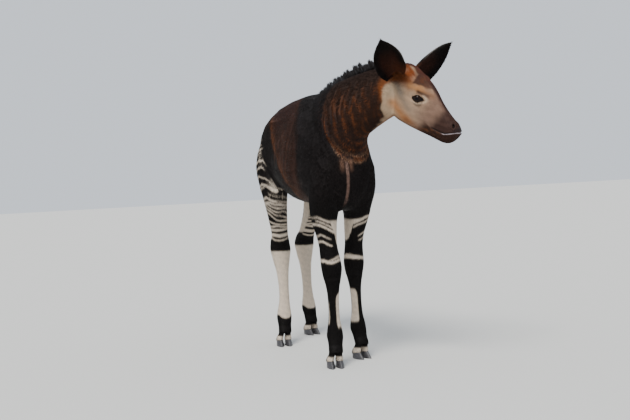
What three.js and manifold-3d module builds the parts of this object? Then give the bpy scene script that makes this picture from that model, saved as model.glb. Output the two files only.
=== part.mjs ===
// A young okapi that stands with its head turned to its left, as a still, life-size model.
// Millimetres, +Z up. The animal faces -Y and its left side is +X. The origin is on the floor, under
// the middle of its box. Every solid reaches to the tips of the short coat.
import * as THREE from "three";
import { mergeVertices } from "three/addons/utils/BufferGeometryUtils.js";
import Module from "manifold-3d";

const wasm = await Module();
wasm.setup();

// Gap left between pieces that touch.
const GAP = 0.3;
const TAU = Math.PI * 2;
const rad = THREE.MathUtils.degToRad;

// Heights where the legs are parted, and where the pastern's lower end is.
const ELBOW_CUT = 632;
const KNEE_CUT = 415;
const HOCK_CUT = 440;
const FETLOCK_CUT = 150;
const PASTERN_END = 62;

// Slanted planes where the thighs, the neck and the head are parted: a point, and the way they face.
const THIGH_CUT = { point: [0, 310, 716], normal: [0, 0.22, -1] };
const NECK_CUT = { point: [60, -284, 1000], normal: [0, -0.65, 0.76] };
const NAPE_CUT = { forward: -22, up: 0, normal: [0.805, 0.593] };

// Hooves: height of the front wall and of the heel, length of the sole, width of one claw and how far
// the front wall leans back.
const HOOF_FRONT = 34;
const HOOF_HEEL = 20;
const HOOF_LENGTH = 78;
const CLAW_WIDTH = 34;
const CLEFT = 4;
const HOOF_LEAN = 27;

// Eyes and ears.
const EYE_RADIUS = 21;
const EYE_PLACE = { forward: 157, up: -46, side: 49 };
const EAR_LENGTH = 222;
const EAR_WIDTH = 122;
const EAR_THICKNESS = 6;
const EAR_WIDEST = 0.36;
const EAR_CUP = 0.75;
const EAR_BLUNTNESS = 2.6;

// Each ear's root in the head's frame, which way it points and which way its hollow side looks, as
// shares ahead, out to its side and up. The right ear is held out, the left one is turned ahead.
const EARS = {
  ear_right: {
    place: { forward: 27, up: -64, side: -54 },
    aim: [0.14, 0.81, 0.57],
    face: [0.4, 0.6, -0.6],
  },
  ear_left: {
    place: { forward: 50, up: -50, side: 50 },
    aim: [0.57, 0.5, 0.64],
    face: [1, -0.2, -0.4],
  },
};

// Horn buds under the skin of the brow.
const BUD_RADIUS = 17;
const BUD_PLACE = { forward: 96, up: 6, side: 31 };

// Standing hair of the mane over the neck's crest.
const MANE_RISE = 42;
const MANE_WIDTH = 15;
const MANE_ROOT = 16;

// Where the head sits and how it is turned.
const POLL = new THREE.Vector3(190, -553, 1235);
const HEAD_TURN = rad(39.7);
const HEAD_PITCH = rad(52.5);

// Trunk stations: y, height of the widest level, rise to the back, drop to the belly, half width,
// and how much narrower the top is than the bottom.
const TRUNK = [
  [-424, 815, 40, 45, 36, 0.0],
  [-402, 820, 110, 102, 80, 0.0],
  [-356, 832, 208, 163, 108, 0.08],
  [-288, 845, 270, 197, 127, 0.16],
  [-200, 850, 292, 203, 140, 0.2],
  [-70, 855, 294, 200, 160, 0.18],
  [70, 862, 283, 195, 172, 0.14],
  [190, 880, 254, 168, 174, 0.1],
  [290, 905, 210, 160, 164, 0.06],
  [370, 915, 168, 145, 148, 0.0],
  [430, 905, 122, 115, 115, 0.0],
  [468, 890, 60, 60, 60, 0.0],
];

// Neck stations: the crest's point (x, y, z), the throat's point (x, y, z) and half the width.
const NECK = [
  [0, -20, 1126, -6, -404, 800, 104],
  [6, -150, 1156, 0, -424, 880, 100],
  [32, -300, 1190, 30, -432, 936, 84],
  [72, -404, 1214, 72, -450, 966, 72],
  [120, -476, 1228, 112, -480, 995, 65],
  [166, -520, 1234, 150, -500, 1018, 60],
];

// Head stations: distance from the poll towards the nose, rise to the brow line, drop to the jaw,
// half width, and the widest level.
const HEAD = [
  [-24, -50, 92, 34, -70],
  [5, -2, 130, 55, -68],
  [40, 16, 155, 60, -64],
  [90, 23, 178, 62, -58],
  [135, 24, 184, 66, -46],
  [175, 20, 172, 60, -44],
  [215, 13, 155, 49, -44],
  [255, 9, 136, 41, -44],
  [295, 8, 116, 37, -42],
  [330, 9, 99, 36, -38],
  [350, 5, 86, 32, -36],
  [362, -6, 72, 23, -37],
  [368, -24, 56, 10, -39],
];

// The mouth: where it ends in front, its corner, and where the jaw's hind edge is, in the head's frame.
const LIP = { forward: 366, up: -8 };
const MOUTH_CORNER = { forward: 281, up: -76 };
const JAW_EDGE = { forward: 240, up: -160 };

// Leg sections: height, half width, reach forward and reach back from the leg's line.
const FORELEG = [
  [940, 26, 74, 60],
  [880, 42, 110, 88],
  [800, 49, 116, 98],
  [730, 54, 104, 94],
  [680, 56, 82, 84],
  [630, 55, 62, 68],
  [580, 49, 52, 56],
  [540, 43, 45, 49],
  [500, 40, 41, 45],
  [455, 43, 43, 43],
  [415, 45, 46, 42],
  [375, 40, 41, 39],
  [335, 32, 31, 33],
  [295, 27, 26, 29],
  [240, 25, 25, 28],
  [190, 27, 27, 32],
  [155, 33, 32, 38],
  [125, 36, 34, 40],
  [95, 33, 31, 33],
  [PASTERN_END, 33, 30, 28],
];
const HINDLEG = [
  [1010, 34, 80, 70],
  [930, 58, 120, 116],
  [840, 68, 140, 132],
  [760, 64, 128, 124],
  [700, 54, 116, 118],
  [650, 48, 98, 100],
  [600, 45, 80, 82],
  [550, 41, 62, 66],
  [510, 40, 50, 58],
  [475, 45, 46, 64],
  [HOCK_CUT, 47, 45, 56],
  [395, 42, 39, 43],
  [345, 33, 31, 34],
  [295, 28, 27, 30],
  [240, 26, 25, 28],
  [190, 28, 28, 32],
  [150, 34, 33, 38],
  [122, 36, 34, 40],
  [92, 33, 31, 33],
  [PASTERN_END, 33, 30, 28],
];

// Each leg's line, from the top down (height, x, y), its hoof's tip on the floor, and how far the foot
// turns out, in degrees.
const LEGS = {
  foreleg_right: {
    sections: FORELEG,
    line: [
      [940, -70, -250],
      [800, -86, -284],
      [630, -88, -280],
      [540, -78, -287],
      [415, -66, -296],
      [240, -61, -293],
      [125, -58, -290],
      [PASTERN_END, -68, -318],
    ],
    tip: [-78, -358],
    turn: 9,
    side: -1,
  },
  foreleg_left: {
    sections: FORELEG,
    line: [
      [940, 70, -250],
      [800, 84, -284],
      [630, 78, -252],
      [540, 71, -226],
      [415, 75, -198],
      [240, 88, -181],
      [125, 97, -172],
      [PASTERN_END, 99, -200],
    ],
    tip: [106, -240],
    turn: 12,
    side: 1,
  },
  hindleg_right: {
    sections: HINDLEG,
    line: [
      [1010, -88, 320],
      [840, -112, 300],
      [700, -113, 272],
      [600, -106, 270],
      [510, -90, 292],
      [HOCK_CUT, -82, 312],
      [240, -82, 288],
      [122, -90, 272],
      [PASTERN_END, -99, 242],
    ],
    tip: [-110, 200],
    turn: 7,
    side: -1,
  },
  hindleg_left: {
    sections: HINDLEG,
    line: [
      [1010, 88, 326],
      [840, 112, 318],
      [700, 113, 330],
      [600, 110, 382],
      [510, 110, 468],
      [HOCK_CUT, 111, 520],
      [240, 107, 492],
      [122, 107, 474],
      [PASTERN_END, 106, 444],
    ],
    tip: [116, 404],
    turn: 12,
    side: 1,
  },
};

// Tail stations: x, y, z and radius, ending in a tuft.
const TAIL = [
  [0, 405, 1030, 20],
  [0, 452, 1024, 22],
  [1, 482, 988, 17],
  [3, 492, 926, 13],
  [5, 493, 866, 12],
  [7, 492, 812, 18],
  [8, 490, 762, 20],
  [8, 488, 718, 6],
];

// Colours of the coat, hooves and eyes.
const COLOUR = {
  body: 0x2b1a12,
  neck: 0x33201a,
  head: 0xa8917c,
  jaw: 0x3a2a22,
  ear: 0x2a1813,
  mane: 0x1b1412,
  foreleg: 0x17110f,
  thigh: 0x2a211d,
  shank: 0xc9beb2,
  foot: 0x141010,
  hoof: 0x4a4a50,
  eye: 0x0c0908,
};

// The row at a share s of the way from rows[j] to the next, on a smooth curve through all rows.
function between(rows, j, s) {
  const slope = (i, k) => {
    const a = Math.max(i - 1, 0);
    const b = Math.min(i + 1, rows.length - 1);
    return (rows[b][k] - rows[a][k]) / (b - a);
  };
  const s2 = s * s;
  const s3 = s2 * s;
  return rows[j].map(
    (_, k) =>
      (2 * s3 - 3 * s2 + 1) * rows[j][k] +
      (s3 - 2 * s2 + s) * slope(j, k) +
      (3 * s2 - 2 * s3) * rows[j + 1][k] +
      (s3 - s2) * slope(j + 1, k),
  );
}

// Rows of a smooth curve, with the given number of steps from each row to the next.
function refine(rows, steps) {
  const out = [];
  for (let j = 0; j < rows.length - 1; j++) {
    for (let i = 0; i < steps; i++) out.push(between(rows, j, i / steps));
  }
  return [...out, rows[rows.length - 1]];
}

// The place of a leg's line at a height.
function lineAt(line, height) {
  let j = 0;
  while (j < line.length - 2 && height < line[j + 1][0]) j++;
  const s = THREE.MathUtils.clamp((line[j][0] - height) / (line[j][0] - line[j + 1][0]), 0, 1);
  const [, x, y] = between(line, j, s);
  return [x, y];
}

// A closed skin over rings of points, each ring in the same order round the path.
function skinOver(rings) {
  const n = rings[0].length;
  const middle = (ring) => ring.reduce((sum, p) => sum.add(p), new THREE.Vector3()).divideScalar(n);
  const points = [...rings.flat(), middle(rings[0]), middle(rings[rings.length - 1])];
  const first = rings.length * n;
  const last = first - n;
  const index = [];
  for (let j = 0; j < n; j++) {
    const k = (j + 1) % n;
    for (let i = 0; i < rings.length - 1; i++) {
      const a = i * n + j;
      const b = i * n + k;
      index.push(a, b, b + n, a, b + n, a + n);
    }
    index.push(first, k, j, first + 1, last + j, last + k);
  }
  const geometry = new THREE.BufferGeometry().setFromPoints(points);
  geometry.setIndex(index);
  return geometry;
}

// A solid that can be joined and cut, from a closed geometry, turned right side out.
function solid(geometry) {
  const bare = geometry.clone();
  bare.deleteAttribute("normal");
  bare.deleteAttribute("uv");
  const merged = mergeVertices(bare, 1e-4);
  const triVerts = new Uint32Array(merged.index.array);
  const vertProperties = new Float32Array(merged.attributes.position.array);
  const make = () => new wasm.Manifold(new wasm.Mesh({ numProp: 3, vertProperties, triVerts }));
  const made = make();
  if (made.volume() > 0) return made;
  for (let i = 0; i < triVerts.length; i += 3) {
    [triVerts[i + 1], triVerts[i + 2]] = [triVerts[i + 2], triVerts[i + 1]];
  }
  return make();
}

// One ring: a rounded oval with its own reach up and down, narrowed towards the top.
function oval(centre, side, up, width, rise, drop, count, narrow = 0) {
  const squareness = 2.15;
  const power = 2 / squareness;
  const ring = [];
  for (let j = 0; j < count; j++) {
    const a = (TAU * j) / count;
    const c = Math.sign(Math.cos(a)) * Math.abs(Math.cos(a)) ** power;
    const s = Math.sign(Math.sin(a)) * Math.abs(Math.sin(a)) ** power;
    const point = centre.clone().addScaledVector(side, width * c * (1 - narrow * s));
    ring.push(point.addScaledVector(up, s > 0 ? rise * s : drop * s));
  }
  return ring;
}

const X = new THREE.Vector3(1, 0, 0);
const Y = new THREE.Vector3(0, 1, 0);
const Z = new THREE.Vector3(0, 0, 1);
const FORWARD = new THREE.Vector3(0, -1, 0);

function trunkMass(grow) {
  const rings = refine(TRUNK, 2).map(([y, level, rise, drop, width, narrow]) =>
    oval(new THREE.Vector3(0, y, level), X, Z, width + grow, rise + grow, drop + grow, 22, narrow),
  );
  return solid(skinOver(rings));
}

// The neck's sections, each in the plane of its crest, its throat and the way across.
function neckSections(steps) {
  const rows = refine(NECK, steps);
  const crests = rows.map(([x, y, z]) => new THREE.Vector3(x, y, z));
  const throats = rows.map((row) => new THREE.Vector3(row[3], row[4], row[5]));
  const centres = crests.map((crest, i) => crest.clone().add(throats[i]).multiplyScalar(0.5));
  return rows.map((row, i) => {
    const before = centres[Math.max(i - 1, 0)];
    const after = centres[Math.min(i + 1, rows.length - 1)];
    const along = after.clone().sub(before).normalize();
    const up = crests[i].clone().sub(throats[i]);
    const half = up.length() / 2;
    up.normalize();
    const side = along.cross(up).normalize();
    return { crest: crests[i], centre: centres[i], up, side, half, width: row[6] };
  });
}

function neckMass(grow) {
  const rings = neckSections(2).map(({ centre, up, side, half, width }) =>
    oval(centre, side, up, width + grow, half + grow, half + grow, 20, 0.16),
  );
  return solid(skinOver(rings));
}

// The head's own directions: forward to the nose, up to the brow and out to its left.
const heading = new THREE.Vector3(Math.sin(HEAD_TURN), -Math.cos(HEAD_TURN), 0);
const headForward = heading.clone().multiplyScalar(Math.cos(HEAD_PITCH));
headForward.addScaledVector(Z, -Math.sin(HEAD_PITCH));
const headUp = heading.clone().multiplyScalar(Math.sin(HEAD_PITCH));
headUp.addScaledVector(Z, Math.cos(HEAD_PITCH));
const headLeft = Z.clone().cross(heading);

// A point of the head, from its distance towards the nose, over the poll and to the left.
function headPoint({ forward, up, side = 0 }) {
  return POLL.clone()
    .addScaledVector(headForward, forward)
    .addScaledVector(headUp, up)
    .addScaledVector(headLeft, side);
}

function headMass(grow) {
  const rings = refine(HEAD, 2).map(([forward, top, drop, width, level]) => {
    const centre = headPoint({ forward, up: level });
    const rise = Math.max(top - level, 8) + grow;
    return oval(centre, headLeft, headUp, width + grow, rise, Math.max(drop + level, 8) + grow, 20, -0.1);
  });
  const buds = [-1, 1].map((side) => {
    const place = headPoint({ ...BUD_PLACE, side: BUD_PLACE.side * side });
    return solid(new THREE.SphereGeometry(BUD_RADIUS + grow, 10, 7).translate(...place));
  });
  return buds.reduce((sum, bud) => sum.add(bud), solid(skinOver(rings)));
}

function legMass({ sections, line }, grow) {
  const rings = sections.map(([z, width, front, back]) => {
    const [x, y] = lineAt(line, z);
    return oval(new THREE.Vector3(x, y, z), X, FORWARD, width + grow, front + grow, back + grow, 12);
  });
  return solid(skinOver(rings));
}

// A foot's own directions on the floor: ahead to the toes and across to its outer side.
function footFrame({ tip, turn, side }) {
  const ahead = FORWARD.clone().applyAxisAngle(Z, rad(turn) * side);
  const outward = ahead.clone().cross(Z).multiplyScalar(-side);
  return { tip: new THREE.Vector3(tip[0], tip[1], 0), ahead, outward };
}

// One level of a claw: rounded outside, flat along the cleft and pointed in front. The ring's height
// falls from the front to the heel.
function clawRing(foot, which, share, grow, count = 10) {
  const { tip, ahead, outward } = footFrame(foot);
  const lean = HOOF_LEAN * share;
  const reach = (HOOF_LENGTH - lean) / 2;
  const ring = [];
  for (let j = 0; j < count; j++) {
    const a = (TAU * j) / count;
    const along = Math.sin(a);
    const pointed = 1 - 0.4 * Math.max(along, 0) ** 2;
    const half = CLAW_WIDTH / 2 - 2 * share + grow;
    const across = (CLEFT + CLAW_WIDTH) / 2 + (Math.cos(a) > 0 ? half : half * 0.94) * Math.cos(a) * pointed;
    const back = lean + reach - (reach + grow) * along;
    const height = THREE.MathUtils.lerp(HOOF_FRONT, HOOF_HEEL, back / HOOF_LENGTH) * share;
    const point = tip.clone().addScaledVector(ahead, -back).addScaledVector(outward, across * which);
    ring.push(point.setZ(height));
  }
  return ring;
}

function hoof(foot, which) {
  return solid(skinOver([0, 0.35, 0.7, 1].map((share) => clawRing(foot, which, share, 0))));
}

// The toe over a claw: a soft lobe from the hoof's upper edge into the pastern.
function toe(foot, which) {
  const low = clawRing(foot, which, 1, 2.5);
  const base = low.map((p) => p.clone().setZ(p.z + GAP));
  const bulge = low.map((p) => p.clone().setZ(p.z + 12));
  const [x, y] = lineAt(foot.line, PASTERN_END);
  const { outward } = footFrame(foot);
  const middle = new THREE.Vector3(x, y, 0).addScaledVector(outward, 13 * which);
  const shrink = (ring, share, height) => {
    const centre = ring.reduce((sum, p) => sum.add(p), new THREE.Vector3()).divideScalar(ring.length);
    const goal = centre.clone().lerp(middle, share);
    return ring.map((p) => p.clone().sub(centre).multiplyScalar(1 - 0.22 * share).add(goal).setZ(height));
  };
  return solid(skinOver([base, bulge, shrink(low, 0.55, 54), shrink(low, 1, 76)]));
}

// Half the width of an ear at a share t of its length: rolled narrow at the root, then a broad leaf
// that ends in a point.
function earHalf(t) {
  const half = EAR_WIDTH / 2;
  if (t < EAR_WIDEST) return half * (0.6 + 0.4 * Math.sin((t / EAR_WIDEST) * (Math.PI / 2)));
  const past = (t - EAR_WIDEST) / (1 - EAR_WIDEST);
  return Math.max(half * (1 - past ** EAR_BLUNTNESS), 2.5);
}

// One ear, cupped towards its face: its edges stand before its axis and its back behind it. It starts
// at root and points along; face is the way that the hollow side looks.
function ear(root, along, face) {
  const axis = along.clone().normalize();
  const across = axis.clone().cross(face).normalize();
  const out = across.clone().cross(axis).normalize();
  const columns = 6;
  const rows = 9;
  const rings = [];
  for (let i = 0; i <= rows; i++) {
    const t = i / rows;
    const half = earHalf(t);
    const cup = half * EAR_CUP * (1 - 0.6 * t);
    const inner = [];
    const outer = [];
    for (let j = 0; j <= columns; j++) {
      const v = (2 * j) / columns - 1;
      const rim = 1 - v * v;
      const depth = cup * (rim - 0.5);
      const point = root.clone().addScaledVector(axis, EAR_LENGTH * t).addScaledVector(across, half * v);
      inner.push(point.clone().addScaledVector(out, -depth));
      outer.push(point.clone().addScaledVector(out, -depth - EAR_THICKNESS * (0.5 + 0.5 * rim)));
    }
    rings.push([...inner, ...outer.reverse()]);
  }
  return solid(skinOver(rings));
}

// The mane: a low ridge of standing hair along the neck's crest.
function mane() {
  const sections = neckSections(2).slice(1, -1);
  const rings = sections.map(({ crest, up, side }, i) => {
    const share = Math.sin((Math.PI * (i + 0.8)) / (sections.length + 0.6)) ** 0.4;
    const low = crest.clone().addScaledVector(up, -MANE_ROOT);
    const high = crest.clone().addScaledVector(up, MANE_RISE * share);
    const mid = crest.clone().addScaledVector(up, MANE_RISE * share * 0.5);
    return [
      low.clone().addScaledVector(side, MANE_WIDTH),
      mid.clone().addScaledVector(side, MANE_WIDTH * 0.75),
      high.clone().addScaledVector(side, 3),
      high.clone().addScaledVector(side, -3),
      mid.clone().addScaledVector(side, -MANE_WIDTH * 0.75),
      low.clone().addScaledVector(side, -MANE_WIDTH),
    ];
  });
  return solid(skinOver(rings));
}

function tail() {
  const rows = refine(TAIL, 2);
  const rings = rows.map(([x, y, z, radius], i) => {
    const [ax, ay, az] = rows[Math.max(i - 1, 0)];
    const [bx, by, bz] = rows[Math.min(i + 1, rows.length - 1)];
    const along = new THREE.Vector3(bx - ax, by - ay, bz - az).normalize();
    const up = along.clone().cross(X).normalize();
    return oval(new THREE.Vector3(x, y, z), X, up, radius, radius, radius, 8);
  });
  return solid(skinOver(rings));
}

// All the flesh but the toes, ears and tail in one solid, thicker by grow.
function flesh(grow) {
  const legs = Object.values(LEGS).map((leg) => legMass(leg, grow));
  const masses = [neckMass(grow), headMass(grow), ...legs];
  return masses.reduce((sum, mass) => sum.add(mass), trunkMass(grow));
}

// A big block that fills the side of a plane to which its normal points.
function blockBeyond(point, normal, size) {
  const turn = new THREE.Quaternion().setFromUnitVectors(Z, normal.clone().normalize());
  const box = new THREE.BoxGeometry(size, size, size).translate(0, 0, size / 2);
  return solid(box.applyQuaternion(turn).translate(...point));
}

// The side of a plane to which its normal points, less and more half of the gap.
function beyond(point, normal, size) {
  const shift = normal.clone().setLength(GAP / 2);
  return {
    less: blockBeyond(point.clone().add(shift), normal, size),
    more: blockBeyond(point.clone().sub(shift), normal, size),
  };
}

// A box between two heights over one quarter of the floor: side is left or right of the animal's
// middle, and end is 1 behind it or -1 before it.
function quarter(low, high, side, end) {
  const reach = 700;
  const box = new THREE.BoxGeometry(reach, reach, high - low);
  return solid(box.translate((side * reach) / 2, (end * reach) / 2, (low + high) / 2));
}

// A mesh with its own material, from a solid.
function meshOf(name, made, colour, roughness = 0.8) {
  const { numProp, numVert, vertProperties, triVerts } = made.getMesh();
  const position = new Float32Array(numVert * 3);
  for (let i = 0; i < numVert; i++) {
    position.set(vertProperties.subarray(i * numProp, i * numProp + 3), i * 3);
  }
  const geometry = new THREE.BufferGeometry();
  geometry.setAttribute("position", new THREE.BufferAttribute(position, 3));
  geometry.setIndex(new THREE.BufferAttribute(triVerts, 1));
  geometry.computeVertexNormals();
  const mesh = new THREE.Mesh(geometry, new THREE.MeshStandardMaterial({ color: colour, roughness }));
  mesh.name = name;
  return mesh;
}

const okapi = new THREE.Group();
const grown = flesh(GAP);
let body = flesh(0);

// Eyes, each in a socket of the head.
for (const [name, side] of [["eye_right", -1], ["eye_left", 1]]) {
  const place = headPoint({ ...EYE_PLACE, side: EYE_PLACE.side * side });
  const ball = (radius) => solid(new THREE.SphereGeometry(radius, 12, 8).translate(...place));
  body = body.subtract(ball(EYE_RADIUS + GAP));
  okapi.add(meshOf(name, ball(EYE_RADIUS), COLOUR.eye, 0.1));
}

// Head and lower jaw: the jaw is what lies both under the line of the mouth and before its hind edge.
function addHead() {
  const size = 560;
  const slant = (ahead, up) => headForward.clone().multiplyScalar(ahead).addScaledVector(headUp, up);
  const facing = (from, to) => slant(to.up - from.up, from.forward - to.forward);
  const nape = beyond(headPoint(NAPE_CUT), slant(...NAPE_CUT.normal), size);
  const corner = headPoint(MOUTH_CORNER);
  const mouth = beyond(corner, facing(MOUTH_CORNER, LIP), size);
  const hind = beyond(corner, facing(JAW_EDGE, MOUTH_CORNER), size);
  const head = body.intersect(nape.less);
  okapi.add(meshOf("head", head.subtract(mouth.more.intersect(hind.more)), COLOUR.head));
  okapi.add(meshOf("lower_jaw", head.intersect(mouth.less).intersect(hind.less), COLOUR.jaw));
  return body.subtract(nape.more);
}

// Neck, trunk and the upper parts of the legs.
function addBody(headless) {
  const neckSide = beyond(new THREE.Vector3(...NECK_CUT.point), new THREE.Vector3(...NECK_CUT.normal), 900);
  const size = 1200;
  const under = beyond(new THREE.Vector3(0, 0, ELBOW_CUT), Z.clone().negate(), size);
  const behind = beyond(new THREE.Vector3(...THIGH_CUT.point), new THREE.Vector3(...THIGH_CUT.normal), size);
  const front = (cut) => cut.intersect(blockBeyond(new THREE.Vector3(), FORWARD, 2 * size));
  const rear = (cut) => cut.intersect(blockBeyond(new THREE.Vector3(), Y, 2 * size));
  okapi.add(meshOf("neck", headless.intersect(neckSide.less), COLOUR.neck));
  const trunk = headless.subtract(neckSide.more).subtract(front(under.more)).subtract(rear(behind.more));
  okapi.add(meshOf("trunk", trunk, COLOUR.body));
  return headless.intersect(front(under.less).add(rear(behind.less)));
}

// One leg in an upper and a lower part and a foot, with the two claws of its hoof.
function addLeg(name, leg, legs) {
  const end = leg.sections === FORELEG ? -1 : 1;
  const joint = end < 0 ? KNEE_CUT : HOCK_CUT;
  const half = GAP / 2;
  const piece = (low, high) => legs.intersect(quarter(low, high, leg.side, end));
  okapi.add(meshOf(`${name}_upper`, piece(joint + half, 1000), end < 0 ? COLOUR.foreleg : COLOUR.thigh));
  okapi.add(
    meshOf(`${name}_lower`, piece(FETLOCK_CUT + half, joint - half), end < 0 ? COLOUR.foreleg : COLOUR.shank),
  );
  const pastern = piece(0, FETLOCK_CUT - half);
  okapi.add(meshOf(`${name}_foot`, pastern.add(toe(leg, -1)).add(toe(leg, 1)), COLOUR.foot));
  okapi.add(meshOf(`${name}_hoof_inner`, hoof(leg, -1), COLOUR.hoof, 0.45));
  okapi.add(meshOf(`${name}_hoof_outer`, hoof(leg, 1), COLOUR.hoof, 0.45));
}

function addEar(name, { place, aim, face }) {
  const outward = headLeft.clone().multiplyScalar(Math.sign(place.side));
  const towards = ([ahead, out, rise]) =>
    heading.clone().multiplyScalar(ahead).addScaledVector(outward, out).addScaledVector(Z, rise);
  const leaf = ear(headPoint(place), towards(aim), towards(face));
  okapi.add(meshOf(name, leaf.subtract(grown), COLOUR.ear));
}

const legs = addBody(addHead());
for (const [name, leg] of Object.entries(LEGS)) addLeg(name, leg, legs);
for (const [name, pose] of Object.entries(EARS)) addEar(name, pose);
okapi.add(meshOf("mane", mane().subtract(grown), COLOUR.mane));
okapi.add(meshOf("tail", tail().subtract(grown), COLOUR.body));

// Sets the origin on the floor under the middle of the box.
const box = new THREE.Box3().setFromObject(okapi);
const middle = box.getCenter(new THREE.Vector3());
okapi.position.set(-middle.x, -middle.y, -box.min.z);

export default okapi;
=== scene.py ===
"""A young okapi that stands with its head turned to its left: skin, coat, eyes, hooves and stage.

The tables are in the animal's own frame, in millimetres: it faces -Y, its left side is +X and the floor
is z = 0. Finished pieces are in the row's frame, in metres, which is the same frame moved by SHIFT.
"""
import math

import bmesh
import bpy
import numpy as np
from mathutils import Matrix, Vector
from mathutils.kdtree import KDTree


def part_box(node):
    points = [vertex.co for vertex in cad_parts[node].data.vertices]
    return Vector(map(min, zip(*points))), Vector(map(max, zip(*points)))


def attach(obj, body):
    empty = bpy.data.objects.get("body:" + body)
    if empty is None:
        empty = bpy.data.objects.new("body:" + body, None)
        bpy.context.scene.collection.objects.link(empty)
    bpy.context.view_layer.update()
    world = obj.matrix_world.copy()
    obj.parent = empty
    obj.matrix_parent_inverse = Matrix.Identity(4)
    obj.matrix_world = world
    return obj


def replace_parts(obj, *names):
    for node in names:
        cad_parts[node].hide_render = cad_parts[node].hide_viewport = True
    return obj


bl_info = {
    "name": "Okapi",
    "version": (1, 0, 0),
    "blender": (4, 5, 0),
    "location": "3D View > Sidebar > Okapi",
    "description": "Builds a young okapi with its skin, coat, eyes and hooves",
    "category": "Add Mesh",
}

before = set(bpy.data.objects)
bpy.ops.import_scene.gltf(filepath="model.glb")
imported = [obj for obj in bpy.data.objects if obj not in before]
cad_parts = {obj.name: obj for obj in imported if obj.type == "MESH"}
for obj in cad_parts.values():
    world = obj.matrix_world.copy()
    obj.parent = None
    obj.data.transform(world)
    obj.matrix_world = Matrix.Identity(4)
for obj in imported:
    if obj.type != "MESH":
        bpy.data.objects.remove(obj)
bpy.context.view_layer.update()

TAU = 2 * math.pi

# Trunk stations: y, height of the widest level, rise to the back, drop to the belly, half width,
# and how much narrower the top is than the bottom.
TRUNK = [
    (-424, 815, 40, 45, 36, 0.0),
    (-402, 820, 110, 102, 80, 0.0),
    (-356, 832, 208, 163, 108, 0.08),
    (-288, 845, 270, 197, 127, 0.16),
    (-200, 850, 292, 203, 140, 0.2),
    (-70, 855, 294, 200, 160, 0.18),
    (70, 862, 283, 195, 172, 0.14),
    (190, 880, 254, 168, 174, 0.1),
    (290, 905, 210, 160, 164, 0.06),
    (370, 915, 168, 145, 148, 0.0),
    (430, 905, 122, 115, 115, 0.0),
    (468, 890, 60, 60, 60, 0.0),
]

# Neck stations: the crest's point, the throat's point and half the width.
NECK = [
    (0, -20, 1126, -6, -404, 800, 104),
    (6, -150, 1156, 0, -424, 880, 100),
    (32, -300, 1190, 30, -432, 936, 84),
    (72, -404, 1214, 72, -450, 966, 72),
    (120, -476, 1228, 112, -480, 995, 65),
    (166, -520, 1234, 150, -500, 1018, 60),
]

# Head stations: distance from the poll towards the nose, rise to the brow line, drop to the jaw,
# half width, and the widest level.
HEAD = [
    (-24, -50, 92, 34, -70),
    (5, -2, 130, 55, -68),
    (40, 16, 155, 60, -64),
    (90, 23, 178, 62, -58),
    (135, 24, 184, 66, -46),
    (175, 20, 172, 60, -44),
    (215, 13, 155, 49, -44),
    (255, 9, 136, 41, -44),
    (295, 8, 116, 37, -42),
    (330, 9, 99, 36, -38),
    (350, 5, 86, 32, -36),
    (362, -6, 72, 23, -37),
    (368, -24, 56, 10, -39),
]

# Heights of the joints, of the top of a leg's own form and of the top of its markings.
PASTERN_END = 62
FETLOCK = 128
KNEE = 418
HOCK = 440
LEG_TOP = 720
MARKS_TOP = 970

# Leg sections: height, half width, reach forward and reach back from the leg's line.
FORELEG = [
    (940, 26, 74, 60),
    (880, 42, 110, 88),
    (800, 49, 116, 98),
    (730, 54, 104, 94),
    (680, 56, 82, 84),
    (630, 55, 62, 68),
    (580, 49, 52, 56),
    (540, 43, 45, 49),
    (500, 40, 41, 45),
    (455, 43, 43, 43),
    (415, 45, 46, 42),
    (375, 40, 41, 39),
    (335, 32, 31, 33),
    (295, 27, 26, 29),
    (240, 25, 25, 28),
    (190, 27, 27, 32),
    (155, 33, 32, 38),
    (125, 36, 34, 40),
    (95, 33, 31, 33),
    (PASTERN_END, 33, 30, 28),
]
HINDLEG = [
    (1010, 34, 80, 70),
    (930, 58, 120, 116),
    (840, 68, 140, 132),
    (760, 64, 128, 124),
    (700, 54, 116, 118),
    (650, 48, 98, 100),
    (600, 45, 80, 82),
    (550, 41, 62, 66),
    (510, 40, 50, 58),
    (475, 45, 46, 64),
    (HOCK, 47, 45, 56),
    (395, 42, 39, 43),
    (345, 33, 31, 34),
    (295, 28, 27, 30),
    (240, 26, 25, 28),
    (190, 28, 28, 32),
    (150, 34, 33, 38),
    (122, 36, 34, 40),
    (92, 33, 31, 33),
    (PASTERN_END, 33, 30, 28),
]

# Each leg's side, line from the top down (height, x, y), hoof's tip on the floor and turn outwards.
LEGS = {
    "foreleg_right": {
        "side": -1,
        "sections": FORELEG,
        "line": [
            (940, -70, -250), (800, -86, -284), (630, -88, -280), (540, -78, -287),
            (415, -66, -296), (240, -61, -293), (125, -58, -290), (PASTERN_END, -68, -318),
        ],
        "tip": (-78, -358),
        "turn": 9,
    },
    "foreleg_left": {
        "side": 1,
        "sections": FORELEG,
        "line": [
            (940, 70, -250), (800, 84, -284), (630, 78, -252), (540, 71, -226),
            (415, 75, -198), (240, 88, -181), (125, 97, -172), (PASTERN_END, 99, -200),
        ],
        "tip": (106, -240),
        "turn": 12,
    },
    "hindleg_right": {
        "side": -1,
        "sections": HINDLEG,
        "line": [
            (1010, -88, 320), (840, -112, 300), (700, -113, 272), (600, -106, 270),
            (510, -90, 292), (HOCK, -82, 312), (240, -82, 288), (122, -90, 272),
            (PASTERN_END, -99, 242),
        ],
        "tip": (-110, 200),
        "turn": 7,
    },
    "hindleg_left": {
        "side": 1,
        "sections": HINDLEG,
        "line": [
            (1010, 88, 326), (840, 112, 318), (700, 113, 330), (600, 110, 382),
            (510, 110, 468), (HOCK, 111, 520), (240, 107, 492), (122, 107, 474),
            (PASTERN_END, 106, 444),
        ],
        "tip": (116, 404),
        "turn": 12,
    },
}

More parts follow.
